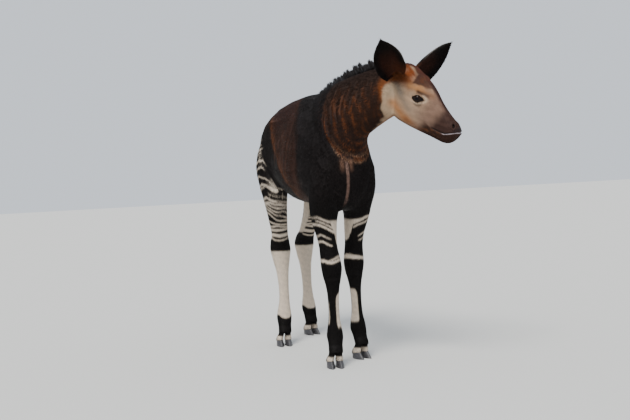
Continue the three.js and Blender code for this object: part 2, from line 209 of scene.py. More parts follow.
# Tail stations: x, y, z and radius.
TAIL = [
    (0, 405, 1030, 20),
    (0, 452, 1024, 22),
    (1, 482, 988, 17),
    (3, 492, 926, 13),
    (5, 493, 866, 12),
    (7, 492, 812, 18),
    (8, 490, 762, 20),
    (8, 488, 718, 6),
]

# Claws: wall heights, sole length, width, cleft and lean of the front wall.
HOOF_FRONT = 34
HOOF_HEEL = 20
HOOF_LENGTH = 78
CLAW_WIDTH = 34
CLEFT = 4
HOOF_LEAN = 27

# Eyes, in the head's frame, and half the length of the opening, its rise and its drop.
EYE_RADIUS = 21
EYE_PLACE = (157, -46, 49)
EYE_HALF = 17.5
EYE_RISE = 11.0
EYE_DROP = 9.5

# Rise of the cornea as a share of the radius, its reach in radians, and half the pupil's sides.
CORNEA = 0.04
CORNEA_REACH = 0.45
PUPIL_HALVES = (7.5, 4.2)

# Ears: sizes, where they are widest as a share of their length, how deep the cup and how blunt the
# tip is, and the rows and columns of their net.
EAR_LENGTH = 222
EAR_WIDTH = 122
EAR_THICKNESS = 6
EAR_WIDEST = 0.36
EAR_CUP = 0.75
EAR_BLUNTNESS = 2.6
EAR_ROWS = 44
EAR_COLUMNS = 22

# Each ear's root in the head's frame, and the ways of its axis and of its hollow side as shares
# ahead, out and up.
EARS = {
    "ear_right": {"place": (27, -64, -54), "aim": (0.14, 0.81, 0.57), "face": (0.4, 0.6, -0.6)},
    "ear_left": {"place": (50, -50, 50), "aim": (0.57, 0.5, 0.64), "face": (1.0, -0.2, -0.4)},
}

# Where the head sits and how it is turned.
POLL = np.array((190.0, -553.0, 1235.0))
HEAD_TURN = math.radians(39.7)
HEAD_PITCH = math.radians(52.5)

# The mane: height of its hair over the crest, length of one clump along the crest, count of its
# hairs, and where it begins and ends as shares of the crest.
MANE_RISE = 42
MANE_CLUMP = 13
MANE_HAIRS = 7000
MANE_ENDS = (0.1, 0.93)

# The tail's tuft: count of its hairs, where their roots begin and end as shares of the tail, and the
# height at which the hairs end.
TAIL_HAIRS = 1500
TAIL_HAIR_ROOTS = (0.6, 0.93)
TAIL_HAIR_END = 716

# Depth of the coat, by region.
COAT_BODY = 7.0
COAT_HEAD = 4.5
COAT_LEG = 3.5

# Points round each mass, and how square and how much narrower at the top the ovals are.
POINTS_ROUND = {"trunk": 64, "neck": 56, "head": 56, "leg": 40, "toe": 32, "tail": 24, "claw": 48}
OVAL_POWER = 2 / 2.15
NECK_NARROW = 0.16
HEAD_NARROW = -0.1

# The camera of the picture in the animal's own frame, in metres: its place, its focal length in
# pixels of a 630 pixel wide picture, and its turns.
CAMERA_PLACE = (-1.5496, -4.128, 0.9)
CAMERA_FOCAL = 1000.0
PICTURE_WIDTH = 630.0
SENSOR_WIDTH = 36.0
CAMERA_YAW = math.radians(20.35)
CAMERA_PITCH = math.atan(0.06)
CAMERA_ROLL = math.radians(-2.2)


# Curves and rings

def smooth(value, low, high):
    """3t^2 - 2t^3 with t the share of the way from low to high, held to 0..1."""
    t = np.clip((np.asarray(value, float) - low) / (high - low), 0.0, 1.0)
    return t * t * (3 - 2 * t)


def between(value, low, in_low, in_high, high):
    """1 from in_low to in_high, and smoothly down to 0 at low and at high."""
    return smooth(value, low, in_low) * (1 - smooth(value, in_high, high))


def bell(value, middle, width):
    """exp(-((value - middle) / width)^2)."""
    return np.exp(-(((value - middle) / width) ** 2))


def on_line(value, line):
    """The line's second number where its first one is the value, straight between its points."""
    return np.interp(value, *np.array(line, float).T)


def slopes(rows):
    """(row j+1 - row j-1) / 2 at each row, and one-sided at the ends."""
    count = len(rows)
    low = np.maximum(np.arange(count) - 1, 0)
    high = np.minimum(np.arange(count) + 1, count - 1)
    return (rows[high] - rows[low]) / (high - low).reshape((-1,) + (1,) * (rows.ndim - 1))


def hermite(rows, j, s):
    """The place at share s of the way from row j to row j+1, on Hermite curves."""
    slope = slopes(rows)
    return (
        (2 * s**3 - 3 * s**2 + 1) * rows[j]
        + (s**3 - 2 * s**2 + s) * slope[j]
        + (3 * s**2 - 2 * s**3) * rows[j + 1]
        + (s**3 - s**2) * slope[j + 1]
    )


def refine(rows, steps):
    """Rows on Hermite curves through the given rows, so many steps to each stretch."""
    rows = np.asarray(rows, float)
    t = np.linspace(0, len(rows) - 1, (len(rows) - 1) * steps + 1)
    j = np.minimum(t.astype(int), len(rows) - 2)
    s = (t - j).reshape((-1,) + (1,) * (rows.ndim - 1))
    return hermite(rows, j, s)


def line_at(line, height):
    """The x and y of a leg's line at each height, on the same curves."""
    line = np.asarray(line, float)
    height = np.asarray(height, float)
    j = np.clip(np.searchsorted(-line[:, 0], -height, side="right") - 1, 0, len(line) - 2)
    s = np.clip((line[j, 0] - height) / (line[j, 0] - line[j + 1, 0]), 0, 1)[:, None]
    return hermite(line, j, s)[:, 1:]


def unit(v):
    """v / |v| along the last axis."""
    v = np.asarray(v, float)
    return v / np.maximum(np.linalg.norm(v, axis=-1, keepdims=True), 1e-9)


def oval_rings(centre, side, up, width, rise, drop, count, narrow=0.0):
    """Rings c + side w cos^p(a) (1 - n sin^p(a)) + up h sin^p(a), h being the rise over the middle
    and the drop under it, with p = OVAL_POWER."""
    a = np.arange(count) * TAU / count
    c = np.sign(np.cos(a)) * np.abs(np.cos(a)) ** OVAL_POWER
    s = np.sign(np.sin(a)) * np.abs(np.sin(a)) ** OVAL_POWER
    column = lambda v: np.broadcast_to(np.asarray(v, float).reshape(-1, 1), (len(centre), 1))
    across = column(width) * c * (1 - column(narrow) * s)
    tall = np.where(s > 0, column(rise), column(drop)) * s
    side = np.broadcast_to(side, centre.shape)[:, None, :]
    up = np.broadcast_to(up, centre.shape)[:, None, :]
    return centre[:, None, :] + side * across[..., None] + up * tall[..., None]


def tube(rings):
    """Points and faces of a closed skin over rings: quads between rings and a fan on each end."""
    rows, count, _ = rings.shape
    points = np.concatenate([rings.reshape(-1, 3), rings[:1].mean(1), rings[-1:].mean(1)])
    i, j = np.meshgrid(np.arange(rows - 1), np.arange(count), indexing="ij")
    k = (j + 1) % count
    near, far = i * count, (i + 1) * count
    quads = np.stack([near + j, near + k, far + k, far + j], -1).reshape(-1, 4)
    j = np.arange(count)
    k = (j + 1) % count
    first = np.full(count, rows * count)
    last = (rows - 1) * count
    start = np.stack([first, k, j], -1)
    end = np.stack([first + 1, last + j, last + k], -1)
    return points, quads.tolist() + start.tolist() + end.tolist()


def join_nets(nets):
    """The points and faces of several nets as one net."""
    points, faces, start = [], [], 0
    for more, more_faces in nets:
        points.append(more)
        faces += [[i + start for i in face] for face in more_faces]
        start += len(more)
    return np.concatenate(points), faces


# The head's frame

HEADING = np.array((math.sin(HEAD_TURN), -math.cos(HEAD_TURN), 0.0))
UPRIGHT = np.array((0.0, 0.0, 1.0))
HEAD_FORWARD = HEADING * math.cos(HEAD_PITCH) - UPRIGHT * math.sin(HEAD_PITCH)
HEAD_UP = HEADING * math.sin(HEAD_PITCH) + UPRIGHT * math.cos(HEAD_PITCH)
HEAD_LEFT = np.cross(UPRIGHT, HEADING)
HEAD_AXES = np.stack([HEAD_FORWARD, HEAD_UP, HEAD_LEFT])


def head_point(place):
    """Own-frame points from (forward, up, left) of the poll."""
    return POLL + np.asarray(place, float) @ HEAD_AXES


def head_frame(points):
    """(forward, up, left) of own-frame points from the poll."""
    return (points - POLL) @ HEAD_AXES.T


def box_centre(node):
    """Middle of a CAD node's box."""
    low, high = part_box(node)
    return (np.array(low) + np.array(high)) / 2


# How far the row's frame lies from the animal's own, found from where the right eye is.
SHIFT = box_centre("eye_right") - head_point((EYE_PLACE[0], EYE_PLACE[1], -EYE_PLACE[2])) / 1000


def to_row(points):
    """Own-frame millimetres to row-frame metres."""
    return np.asarray(points) / 1000 + SHIFT


def to_own(points):
    """Row-frame metres to own-frame millimetres."""
    return (points - SHIFT) * 1000


# Masses of the body

def trunk_rings(grow):
    """Ovals along y from the trunk stations."""
    rows = refine(TRUNK, 5)
    centre = np.stack([rows[:, 0] * 0, rows[:, 0], rows[:, 1]], -1)
    sizes = (rows[:, 4] + grow, rows[:, 2] + grow, rows[:, 3] + grow)
    return oval_rings(centre, (1, 0, 0), (0, 0, 1), *sizes, POINTS_ROUND["trunk"], rows[:, 5])


def neck_frames(steps):
    """Crest, middle, up, side, half height and half width at each step along the neck."""
    rows = refine(NECK, steps)
    crest, throat = rows[:, :3], rows[:, 3:6]
    middle = (crest + throat) / 2
    along = unit(np.gradient(middle, axis=0))
    up = unit(crest - throat)
    side = unit(np.cross(along, up))
    return crest, middle, up, side, np.linalg.norm(crest - throat, axis=1) / 2, rows[:, 6]


def neck_rings(grow):
    """Ovals in the planes of crest and throat."""
    _, middle, up, side, half, width = neck_frames(8)
    sizes = (width + grow, half + grow, half + grow)
    return oval_rings(middle, side, up, *sizes, POINTS_ROUND["neck"], NECK_NARROW)


def head_rings(grow):
    """Ovals across the head, from the poll to the nose."""
    rows = refine(HEAD, 5)
    centre = head_point(np.stack([rows[:, 0], rows[:, 4], rows[:, 0] * 0], -1))
    least = 8
    rise = np.maximum(rows[:, 1] - rows[:, 4], least) + grow
    drop = np.maximum(rows[:, 2] + rows[:, 4], least) + grow
    sizes = (rows[:, 3] + grow, rise, drop)
    return oval_rings(centre, HEAD_LEFT, HEAD_UP, *sizes, POINTS_ROUND["head"], HEAD_NARROW)


def leg_rings(leg):
    """Level ovals along a leg's line, inside the coat's depth for their height."""
    rows = refine(leg["sections"], 5)
    x, y = line_at(leg["line"], rows[:, 0]).T
    grow = -(COAT_LEG + (COAT_BODY - COAT_LEG) * smooth(rows[:, 0], 480, 760))
    centre = np.stack([x, y, rows[:, 0]], -1)
    sizes = [rows[:, k] + grow for k in (1, 2, 3)]
    return oval_rings(centre, (1, 0, 0), (0, -1, 0), *sizes, POINTS_ROUND["leg"])


def foot_frame(leg):
    """Tip on the floor, way ahead and way outward of a foot."""
    turn = math.radians(leg["turn"]) * leg["side"]
    ahead = np.array((math.sin(turn), -math.cos(turn), 0.0))
    outward = -leg["side"] * np.cross(ahead, UPRIGHT)
    return np.array((*leg["tip"], 0.0)), ahead, outward


def claw_ring(leg, which, share, grow, count):
    """One level of a claw: an egg flat along the cleft, half (1 - 0.4 sin^2 a) wide in front."""
    tip, ahead, outward = foot_frame(leg)
    lean = HOOF_LEAN * share
    reach = (HOOF_LENGTH - lean) / 2
    a = np.arange(count) * TAU / count
    along = np.sin(a)
    pointed = 1 - 0.4 * np.maximum(along, 0) ** 2
    half = CLAW_WIDTH / 2 - 2 * share + grow
    across = (CLEFT + CLAW_WIDTH) / 2 + np.where(np.cos(a) > 0, half, half * 0.94) * np.cos(a) * pointed
    back = lean + reach - (reach + grow) * along
    height = (HOOF_FRONT + (HOOF_HEEL - HOOF_FRONT) * back / HOOF_LENGTH) * share
    ring = tip - ahead * back[:, None] + outward * (across * which)[:, None]
    ring[:, 2] = height
    return ring


def toe_rings(leg, which):
    """A soft lobe from inside the claw's upper edge into the pastern."""
    low = claw_ring(leg, which, 1, 0.6, POINTS_ROUND["toe"])
    outward = foot_frame(leg)[2]
    x, y = line_at(leg["line"], [PASTERN_END])[0]
    goal = np.array((x, y, 0.0)) + outward * 13 * which
    centre = low.mean(0)

    def shrunk(share, height):
        """The claw's upper ring drawn in and moved towards the pastern by a share."""
        ring = (low - centre) * (1 - 0.3 * share) + centre + (goal - centre) * share
        ring[:, 2] = height
        return ring

    base = low - np.array((0, 0, 3.0))
    bulge = centre + (low - centre) * 1.02 + np.array((0, 0, 11.0))
    return refine(np.stack([base, bulge, shrunk(0.55, 52), shrunk(1, 76)]), 6)


def tail_rings():
    """Round rings along the tail's line, which stay thin inside the tuft."""
    rows = refine(TAIL, 5)
    centre = rows[:, :3]
    along = unit(np.gradient(centre, axis=0))
    up = unit(np.cross(along, (1, 0, 0)))
    radius = np.maximum(np.minimum(rows[:, 3], 14) - 4, 3)
    return oval_rings(centre, (1, 0, 0), up, radius, radius, radius, POINTS_ROUND["tail"])


def ear_frame(pose):
    """Root, axis, way across and way of the hollow side of an ear."""
    outward = HEAD_LEFT * math.copysign(1, pose["place"][2])
    towards = lambda v: HEADING * v[0] + outward * v[1] + UPRIGHT * v[2]
    axis = unit(towards(pose["aim"]))
    across = unit(np.cross(axis, towards(pose["face"])))
    return head_point(pose["place"]), axis, across, np.cross(across, axis)


def ear_half(t):
    """Half width: rolled narrow at the root, widest at EAR_WIDEST, then a point."""
    past = (t - EAR_WIDEST) / (1 - EAR_WIDEST)
    rise = 0.6 + 0.4 * np.sin(np.clip(t / EAR_WIDEST, 0, 1) * math.pi / 2)
    fall = np.maximum(1 - np.maximum(past, 0) ** EAR_BLUNTNESS, 0.05)
    return EAR_WIDTH / 2 * np.where(past < 0, rise, fall)


def ear_rings(pose):
    """Rings round a cupped leaf: the hollow side across and back along the outer side. The rim curls
    in a little and the leaf waves along its length."""
    root, axis, across, out = ear_frame(pose)
    t = np.linspace(0, 0.99, EAR_ROWS)[:, None]
    v = np.linspace(-1, 1, EAR_COLUMNS)[None, :]
    half = ear_half(t) - 2.5
    cup = half * EAR_CUP * (1 - 0.6 * t)
    rim = 1 - v * v
    wave = 1.2 * np.sin(9 * t + 2 * v)
    depth = cup * (rim - 0.5) + wave
    curl = 3.0 * smooth(np.abs(v), 0.75, 1.0) * smooth(t, 0.1, 0.4) * (1 - t)
    sideways = half * v - np.sign(v) * curl
    place = root + axis * (EAR_LENGTH * t)[..., None] + across * sideways[..., None]
    thick = (EAR_THICKNESS - 2.6) * (0.55 + 0.45 * rim) * (1.6 - 0.8 * t)
    inner = place - out * depth[..., None]
    outer = place - out * (depth + thick)[..., None]
    return np.concatenate([inner, outer[:, ::-1]], 1)


# Regions in the order of their numbers, with their cell on the unwrap: left, bottom, width, height.
CELLS = {
    "trunk": (0.01, 0.01, 0.38, 0.46),
    "neck": (0.41, 0.01, 0.28, 0.3),
    "head": (0.71, 0.01, 0.28, 0.3),
    "foreleg_right": (0.01, 0.51, 0.14, 0.47),
    "foreleg_left": (0.17, 0.51, 0.14, 0.47),
    "hindleg_right": (0.33, 0.51, 0.16, 0.47),
    "hindleg_left": (0.51, 0.51, 0.16, 0.47),
    "tail": (0.69, 0.33, 0.05, 0.3),
    "ear_right": (0.76, 0.33, 0.11, 0.3),
    "ear_left": (0.88, 0.33, 0.11, 0.3),
    "toes": (0.7, 0.68, 0.29, 0.3),
}
REGIONS = list(CELLS)


def body_masses():
    """Every mass as (region, rings). The rings run the way that the hair lies."""
    masses = [
        ("trunk", trunk_rings(-COAT_BODY)),
        ("neck", neck_rings(-COAT_BODY)[::-1]),
        ("head", head_rings(-COAT_HEAD)[::-1]),
        ("tail", tail_rings()),
    ]
    for name, leg in LEGS.items():
        masses.append((name, leg_rings(leg)))
        masses += [("toes", toe_rings(leg, which)[::-1]) for which in (-1, 1)]
    return masses


def mesh_object(name, points, faces):
    """A new mesh object from points in the row's frame."""
    mesh = bpy.data.meshes.new(name)
    mesh.from_pydata(np.asarray(points).tolist(), [], faces)
    mesh.update()
    obj = bpy.data.objects.new(name, mesh)
    bpy.context.scene.collection.objects.link(obj)
    return obj


def right_side_out(mesh):
    """Turns every face of the mesh outward."""
    work = bmesh.new()
    work.from_mesh(mesh)
    bmesh.ops.recalc_face_normals(work, faces=work.faces)
    work.to_mesh(mesh)
    work.free()


def bake_modifiers(obj):
    """The object's mesh with its modifiers carried out."""
    graph = bpy.context.evaluated_depsgraph_get()
    made = bpy.data.meshes.new_from_object(obj.evaluated_get(graph))
    obj.modifiers.clear()
    old = obj.data
    obj.data = made
    bpy.data.meshes.remove(old)


def get_points(mesh):
    """Points of a mesh as an array."""
    flat = np.empty(len(mesh.vertices) * 3)
    mesh.vertices.foreach_get("co", flat)
    return flat.reshape(-1, 3)


def set_points(mesh, points):
    """Moves the mesh's points."""
    mesh.vertices.foreach_set("co", np.ascontiguousarray(points, float).ravel())
    mesh.update()


def get_normals(mesh):
    """Normals at the mesh's points."""
    flat = np.empty(len(mesh.vertices) * 3)
    mesh.vertex_normals.foreach_get("vector", flat)
    return flat.reshape(-1, 3)


def get_edges(mesh):
    """Pairs of point numbers."""
    flat = np.empty(len(mesh.edges) * 2, int)
    mesh.edges.foreach_get("vertices", flat)
    return flat.reshape(-1, 2)


def get_triangles(mesh):
    """Triples of point numbers."""
    mesh.calc_loop_triangles()
    flat = np.empty(len(mesh.loop_triangles) * 3, int)
    mesh.loop_triangles.foreach_get("vertices", flat)
    return flat.reshape(-1, 3)


def relax(values, edges, weight, rounds):
    """v += w (mean of neighbours - v), again and again."""
    count = len(values)
    a, b = edges.T
    degree = np.maximum(np.bincount(a, minlength=count) + np.bincount(b, minlength=count), 1)
    weight = np.broadcast_to(weight, (count,))
    values = values.copy()
    for _ in range(rounds):
        for k in range(values.shape[1]):
            column = values[:, k]
            total = np.bincount(a, column[b], count) + np.bincount(b, column[a], count)
            values[:, k] = column + weight * (total / degree - column)
    return values


# The form of the body under the coat, in the animal's own frame: place, reach and height of each
# swelling (or hollow, below zero). Both sides are meant where x is over 0.
SWELLINGS = [
    ((128, -262, 830), (60, 70, 150), 4.0),
    ((118, -330, 730), (45, 50, 70), 4.0),
    ((28, -292, 655), (26, 84, 36), 14.0),
    ((44, -262, 615), (16, 60, 60), 7.0),
    ((46, -412, 770), (34, 40, 70), 5.0),
    ((-15, -424, 770), (11, 60, 130), -7.0),
    ((158, -120, 800), (60, 24, 130), -5.0),
    ((128, -40, 1010), (60, 30, 90), -4.0),
    ((140, 230, 1040), (34, 40, 26), 5.0),
    ((168, 120, 800), (50, 34, 90), -6.0),
    ((160, 290, 850), (60, 90, 110), 5.0),
    ((70, 430, 1000), (40, 34, 34), 4.0),
    ((0, 200, 1130), (10, 260, 40), 2.5),
    ((150, 110, 1000), (50, 60, 50), -3.0),
    ((95, -230, 1090), (50, 80, 50), -3.0),
]

# The same for the head, as (forward, up, side).
HEAD_SWELLINGS = [
    ((150, -8, 50), (34, 15, 16), 5.5),
    ((100, 14, 31), (13, 13, 12), 4.5),
    ((112, -108, 60), (46, 44, 30), 3.0),
    ((195, -72, 52), (44, 9, 20), 2.0),
    ((235, -20, 40), (50, 26, 20), -2.2),
    ((96, -58, 62), (22, 26, 18), -3.0),
    ((190, -106, 50), (34, 16, 20), -2.0),
    ((300, -30, 36), (26, 24, 16), 2.2),
    ((350, -12, 0), (16, 26, 12), -1.5),
    ((335, -78, 0), (30, 22, 30), 1.5),
    ((60, -4, 20), (40, 16, 22), -1.5),
]

# The line of the mouth in the head's frame, forward and up. The place of a nostril and
# half its length and height.
MOUTH = ((275, -80), (300, -69), (327, -54), (345, -29), (356, -11), (370, 4))
NOSTRIL = (327, -9, 23)
NOSTRIL_HALVES = (9.5, 4.6)

# Distance between two folds of the neck, in neck stations, and between two ribs, in millimetres.
FOLD_STEP = 0.235
RIB_STEP = 34


def swell(points, table, pair_axis):
    """Sum of h exp(-sum(((p - c) / r)^2)) over the table, each on both sides."""
    amount = np.zeros(len(points))
    for centre, reach, height in table:
        for sign in (1, -1) if centre[pair_axis] > 0 else (1,):
            place = np.array(centre, float)
            place[pair_axis] *= sign
            amount += height * np.exp(-(((points - place) / np.array(reach)) ** 2).sum(1))
    return amount


def wobble(points, size, seed):
    """A slow wave between -1 and 1: products of sines about size apart."""
    k = TAU / size
    x, y, z = points.T
    first = np.sin(k * (0.9 * x + 0.4 * y) + seed) * np.sin(k * (0.8 * y - 0.5 * z) + 2 * seed)
    return (first + np.sin(k * (0.9 * z + 0.3 * x - 0.2 * y) + 3 * seed)) / 2


def leg_place(points, leg):
    """(outward, back, angle): place round a leg's line as shares of its width and reach; the angle is
    0 outward and 90 to the rear."""
    sections = np.asarray(leg["sections"], float)[::-1]
    z = points[:, 2]
    x, y = line_at(leg["line"], z).T
    width, front, rear = (np.interp(z, sections[:, 0], sections[:, k]) for k in (1, 2, 3))
    out = (points[:, 0] - x) * leg["side"] / width
    behind = points[:, 1] - y
    back = behind / np.where(behind > 0, rear, front)
    return out, back, np.degrees(np.arctan2(back, out))


def nearest_leg(points):
    """Which leg each point belongs to, by side and by end."""
    names = np.where(points[:, 1] > 0, "hindleg_", "foreleg_").astype(object)
    return names + np.where(points[:, 0] > 0, "left", "right").astype(object)


def leg_form(points):
    """Tendon grooves, joints and the hock's cord, in millimetres along the normal."""
    amount = np.zeros(len(points))
    names = nearest_leg(points)
    z = points[:, 2]
    for name, leg in LEGS.items():
        mine = (names == name) & (z < LEG_TOP)
        if not mine.any():
            continue
        out, back, _ = leg_place(points[mine], leg)
        h = z[mine]
        groove = bell(back, 0.25, 0.22) * smooth(np.abs(out), 0.3, 0.8)
        value = -2.4 * groove * between(h, 170, 210, 330, 380)
        if "hind" in name:
            cord = bell(back, 0.5, 0.2) * smooth(np.abs(out), 0.3, 0.8)
            value -= 5.0 * cord * between(h, 480, 520, 590, 660)
            value += 4.0 * bell(h, HOCK + 46, 22) * smooth(back, 0.55, 0.95)
            value += 2.0 * bell(h, HOCK, 26) * smooth(np.abs(out), 0.5, 0.9)
        else:
            value += 2.6 * bell(h, KNEE, 30) * smooth(-back, 0.3, 0.9)
            value -= 1.6 * bell(h, KNEE - 46, 10) * smooth(-back, 0.2, 0.9)
        value += 1.8 * bell(h, FETLOCK, 16) * smooth(back, 0.2, 0.8)
        value -= 1.5 * bell(h, FETLOCK - 36, 10) * smooth(-back, 0.1, 0.8)
        amount[mine] += value
    return amount


def neck_place(points):
    """(share, height, inside) in the neck: the number of the neck station whose plane holds each point,
    its height there from -1 at the throat to 1 at the crest, and 1 where it lies in the neck's oval."""
    steps = 6
    _, middle, up, side, half, width = neck_frames(steps)
    normal = unit(np.cross(up, side))
    far = points @ normal.T - (middle * normal).sum(1)
    if far[:, 0].mean() < far[:, -1].mean():
        far = -far
    count = np.clip((far > 0).sum(1) - 1, 0, len(middle) - 2)
    row = np.arange(len(points))
    a, b = far[row, count], far[row, count + 1]
    t = np.clip(a / np.where(np.abs(a - b) < 1e-6, 1, a - b), -1, 2)
    rel = points - middle[count]
    height = (rel * up[count]).sum(1) / half[count]
    aside = (rel * side[count]).sum(1) / width[count]
    return (count + t) / steps, height, 1 - smooth(np.hypot(height, aside), 1.08, 1.2)


def neck_edge(points):
    """How many stations a point lies beyond the line from the withers to the collar where the
    neck's folds begin."""
    share, height, _ = neck_place(points)
    return share - (0.6 + 0.55 * (np.clip(height, -1, 1) + 1))


def neck_form(points, share):
    """Folds round the neck, closest and deepest at its foot and on the throat."""
    edge = neck_edge(points)
    _, height, _ = neck_place(points)
    wave = np.abs(np.sin(edge * math.pi / FOLD_STEP + 0.8 * wobble(points, 120, 1.3))) ** 0.8
    at_throat = 1 - smooth(height, -0.2, 0.9)
    deep = at_throat * (1 - 0.5 * smooth(edge, 0.8, 3.0)) * smooth(edge, -0.3, 0.05)
    return share * (2.8 * deep + 0.3) * (wave - 0.6)


def nostril_oval(place, long_half, short_half):
    """1 on the edge of an oval round a nostril that slopes down to the front, less inside it."""
    x = place[:, 0] - NOSTRIL[0]
    y = place[:, 1] - NOSTRIL[1]
    return np.hypot((0.85 * x - 0.5 * y) / long_half, (0.5 * x + 0.85 * y) / short_half)


def head_form(place):
    """Mouth, nostrils and swellings of the head, in millimetres along the normal."""
    forward, up, side = place.T
    amount = swell(place, HEAD_SWELLINGS, 2)
    line = on_line(forward, MOUTH)
    along = smooth(forward, 270, 286)
    amount -= 3.6 * along * bell(up, line, 2.6)
    amount += 1.4 * along * bell(up - line, 9, 7)
    amount += 1.2 * along * bell(up - line, -9, 6)
    ring = nostril_oval(place, *NOSTRIL_HALVES)
    for sign in (1, -1):
        near = bell(side, NOSTRIL[2] * sign, 16)
        amount -= 6.5 * (1 - smooth(ring, 0.4, 1.1)) * near
        amount += 2.2 * bell(ring, 1.5, 0.45) * near
    return amount


def eye_axes(sign):
    """Centre, way out, long way and short way of one eye's opening, in the head's frame."""
    centre = np.array((EYE_PLACE[0], EYE_PLACE[1], EYE_PLACE[2] * sign), float)
    out = unit(np.array((0.16, 0.1, sign * 1.0)))
    long_way = np.array((0.79, 0.61, 0.0))
    long_way = unit(long_way - out * (long_way @ out))
    return centre, out, long_way, np.cross(long_way, out) * -sign


def eye_opening(place, sign):
    """(ring, depth, x, y) round an eye: ring is 1 on the almond's edge, (x / l)^2 + (y / h)^2 = 1
    with a higher upper half; depth is the way out from the eye's middle."""
    centre, out, long_way, short_way = eye_axes(sign)
    rel = place - centre
    x = rel @ long_way
    y = rel @ short_way
    half = np.where(y > 0, EYE_RISE, EYE_DROP) * (1 - 0.1 * np.abs(x) / EYE_HALF)
    return np.sqrt((x / EYE_HALF) ** 2 + (y / half) ** 2), rel @ out, x, y


def fit_lids(place):
    """Lays the skin round each eye over the ball: a little more than its radius on the lids, with a
    thick rim and a crease over the upper lid, and behind the ball's face in the opening."""
    place = place.copy()
    for sign in (1, -1):
        centre = eye_axes(sign)[0]
        ring, depth, _, y = eye_opening(place, sign)
        rel = place - centre
        reach = np.linalg.norm(rel, axis=1)
        near = (ring < 3.4) & (depth > -4)
        upper = smooth(y, -2, 4)
        lid = EYE_RADIUS + 2.2 + (1.0 + 0.9 * upper) * bell(ring, 1.14, 0.13)
        lid -= 1.7 * upper * bell(ring, 1.5, 0.1)
        lid += 2.2 * upper * bell(ring, 1.85, 0.25)
        lid -= 0.8 * (1 - upper) * bell(ring, 1.6, 0.12)
        target = np.where(ring < 1.0, EYE_RADIUS - 5, lid)
        share = np.where(ring < 1.0, 1.0, 1 - smooth(ring, 1.6, 3.3))
        way = rel / np.maximum(reach, 1e-6)[:, None]
        wanted = centre + way * (reach + (target - reach) * share)[:, None]
        place[near] = wanted[near]
    return place


# Markings, as colours of the coat in linear light

# Tints of trunk, neck, legs, tail and mane.
TINTS = {
    "flank": (0.027, 0.0095, 0.0052),
    "flank_light": (0.05, 0.018, 0.0085),
    # The back's own maroon tint, lightened by a painted sheen.
    "back": (0.042, 0.0165, 0.0145),
    "seam_rust": (0.12, 0.038, 0.0105),
    "thigh_black": (0.0062, 0.0043, 0.0042),
    "shoulder_black": (0.0062, 0.0043, 0.0044),
    # Painted grey-blue sheen on the black shoulder.
    "painted_shoulder_sheen": (0.024, 0.0195, 0.022),
    "neck": (0.021, 0.0105, 0.0072),
    "neck_rust": (0.155, 0.046, 0.013),
    "neck_shade": (0.04, 0.015, 0.007),
    "collar": (0.33, 0.19, 0.115),
    "dark_throat": (0.02, 0.01, 0.007),
    "chest_line": (0.24, 0.145, 0.115),
    "chest_blot": (0.25, 0.13, 0.085),
    "leg_black": (0.0042, 0.003, 0.0029),
    "stripe_white": (0.76, 0.65, 0.53),
    "tail_black": (0.008, 0.005, 0.0045),
    "tail_hair": (0.010, 0.007, 0.006),
    "mane": (0.0085, 0.0068, 0.0068),
    "mane_grey": (0.045, 0.045, 0.05),
}

# Tints of the cheek and of the ears.
TINTS |= {
    "chestnut": (0.19, 0.055, 0.014),
    "rust": (0.27, 0.073, 0.014),
    "crown": (0.045, 0.0165, 0.012),
    "fawn": (0.45, 0.31, 0.205),
    "cream": (0.62, 0.455, 0.30),
    # Painted shade: a grey band down the cheek, in two pieces.
    "cheek_painted_shade": (0.24, 0.2, 0.155),
    "cheek_front_painted_shade": (0.27, 0.21, 0.16),
    "orange_tan": (0.50, 0.235, 0.10),
    "brown_tan": (0.33, 0.14, 0.06),
    "pale_fawn": (0.50, 0.35, 0.25),
    "underside": (0.30, 0.17, 0.1),
    "ear_fringe": (0.16, 0.048, 0.013),
    "ear_root": (0.12, 0.038, 0.012),
    "russet": (0.205, 0.052, 0.0115),
    "ear": (0.0085, 0.0052, 0.0046),
    "ear_hollow": (0.05, 0.0165, 0.0095),
    "ear_glow": (0.16, 0.045, 0.014),
    "ear_foot": (0.15, 0.052, 0.018),
    "ear_edge": (0.32, 0.28, 0.25),
}

# Tints of forehead, nose, mouth and eyes.
TINTS |= {
    "brow_tan": (0.43, 0.215, 0.095),
    "forehead": (0.058, 0.0205, 0.013),
    "forehead_hairs": (0.14, 0.045, 0.02),
    "maroon": (0.082, 0.028, 0.018),
    "ridge_front": (0.026, 0.012, 0.011),
    "horn_bump": (0.045, 0.016, 0.012),
    "brow": (0.05, 0.022, 0.012),
    "nose": (0.18, 0.105, 0.078),
    "nose_hairs": (0.34, 0.22, 0.16),
    "muzzle": (0.040, 0.019, 0.0145),
    "muzzle_hairs": (0.095, 0.05, 0.038),
    "jaw": (0.034, 0.014, 0.009),
    "jaw_hairs": (0.13, 0.05, 0.022),
    "nose_pad": (0.012, 0.008, 0.009),
    "lip": (0.50, 0.43, 0.46),
    # Painted shade in the crease between the lips.
    "painted_mouth_shade": (0.006, 0.004, 0.004),
    # Painted shade inside the nostrils.
    "nostril": (0.003, 0.002, 0.002),
    "eye_ring": (0.60, 0.45, 0.32),
    "eye_corner": (0.02, 0.01, 0.008),
    "eye_lid": (0.007, 0.004, 0.0035),
    "eyeball": (0.006, 0.004, 0.004),
    "iris": (0.011, 0.005, 0.003),
    "pupil": (0.002, 0.002, 0.003),
}


def plain(count, tint):
    """So many rows of one tint."""
    return np.tile(TINTS[tint], (count, 1))


def paint(colour, share, tint):
    """old (1 - share) + tint share, with the share held to 0..1."""
    share = np.clip(share, 0, 1)[:, None]
    return colour * (1 - share) + np.array(TINTS[tint]) * share


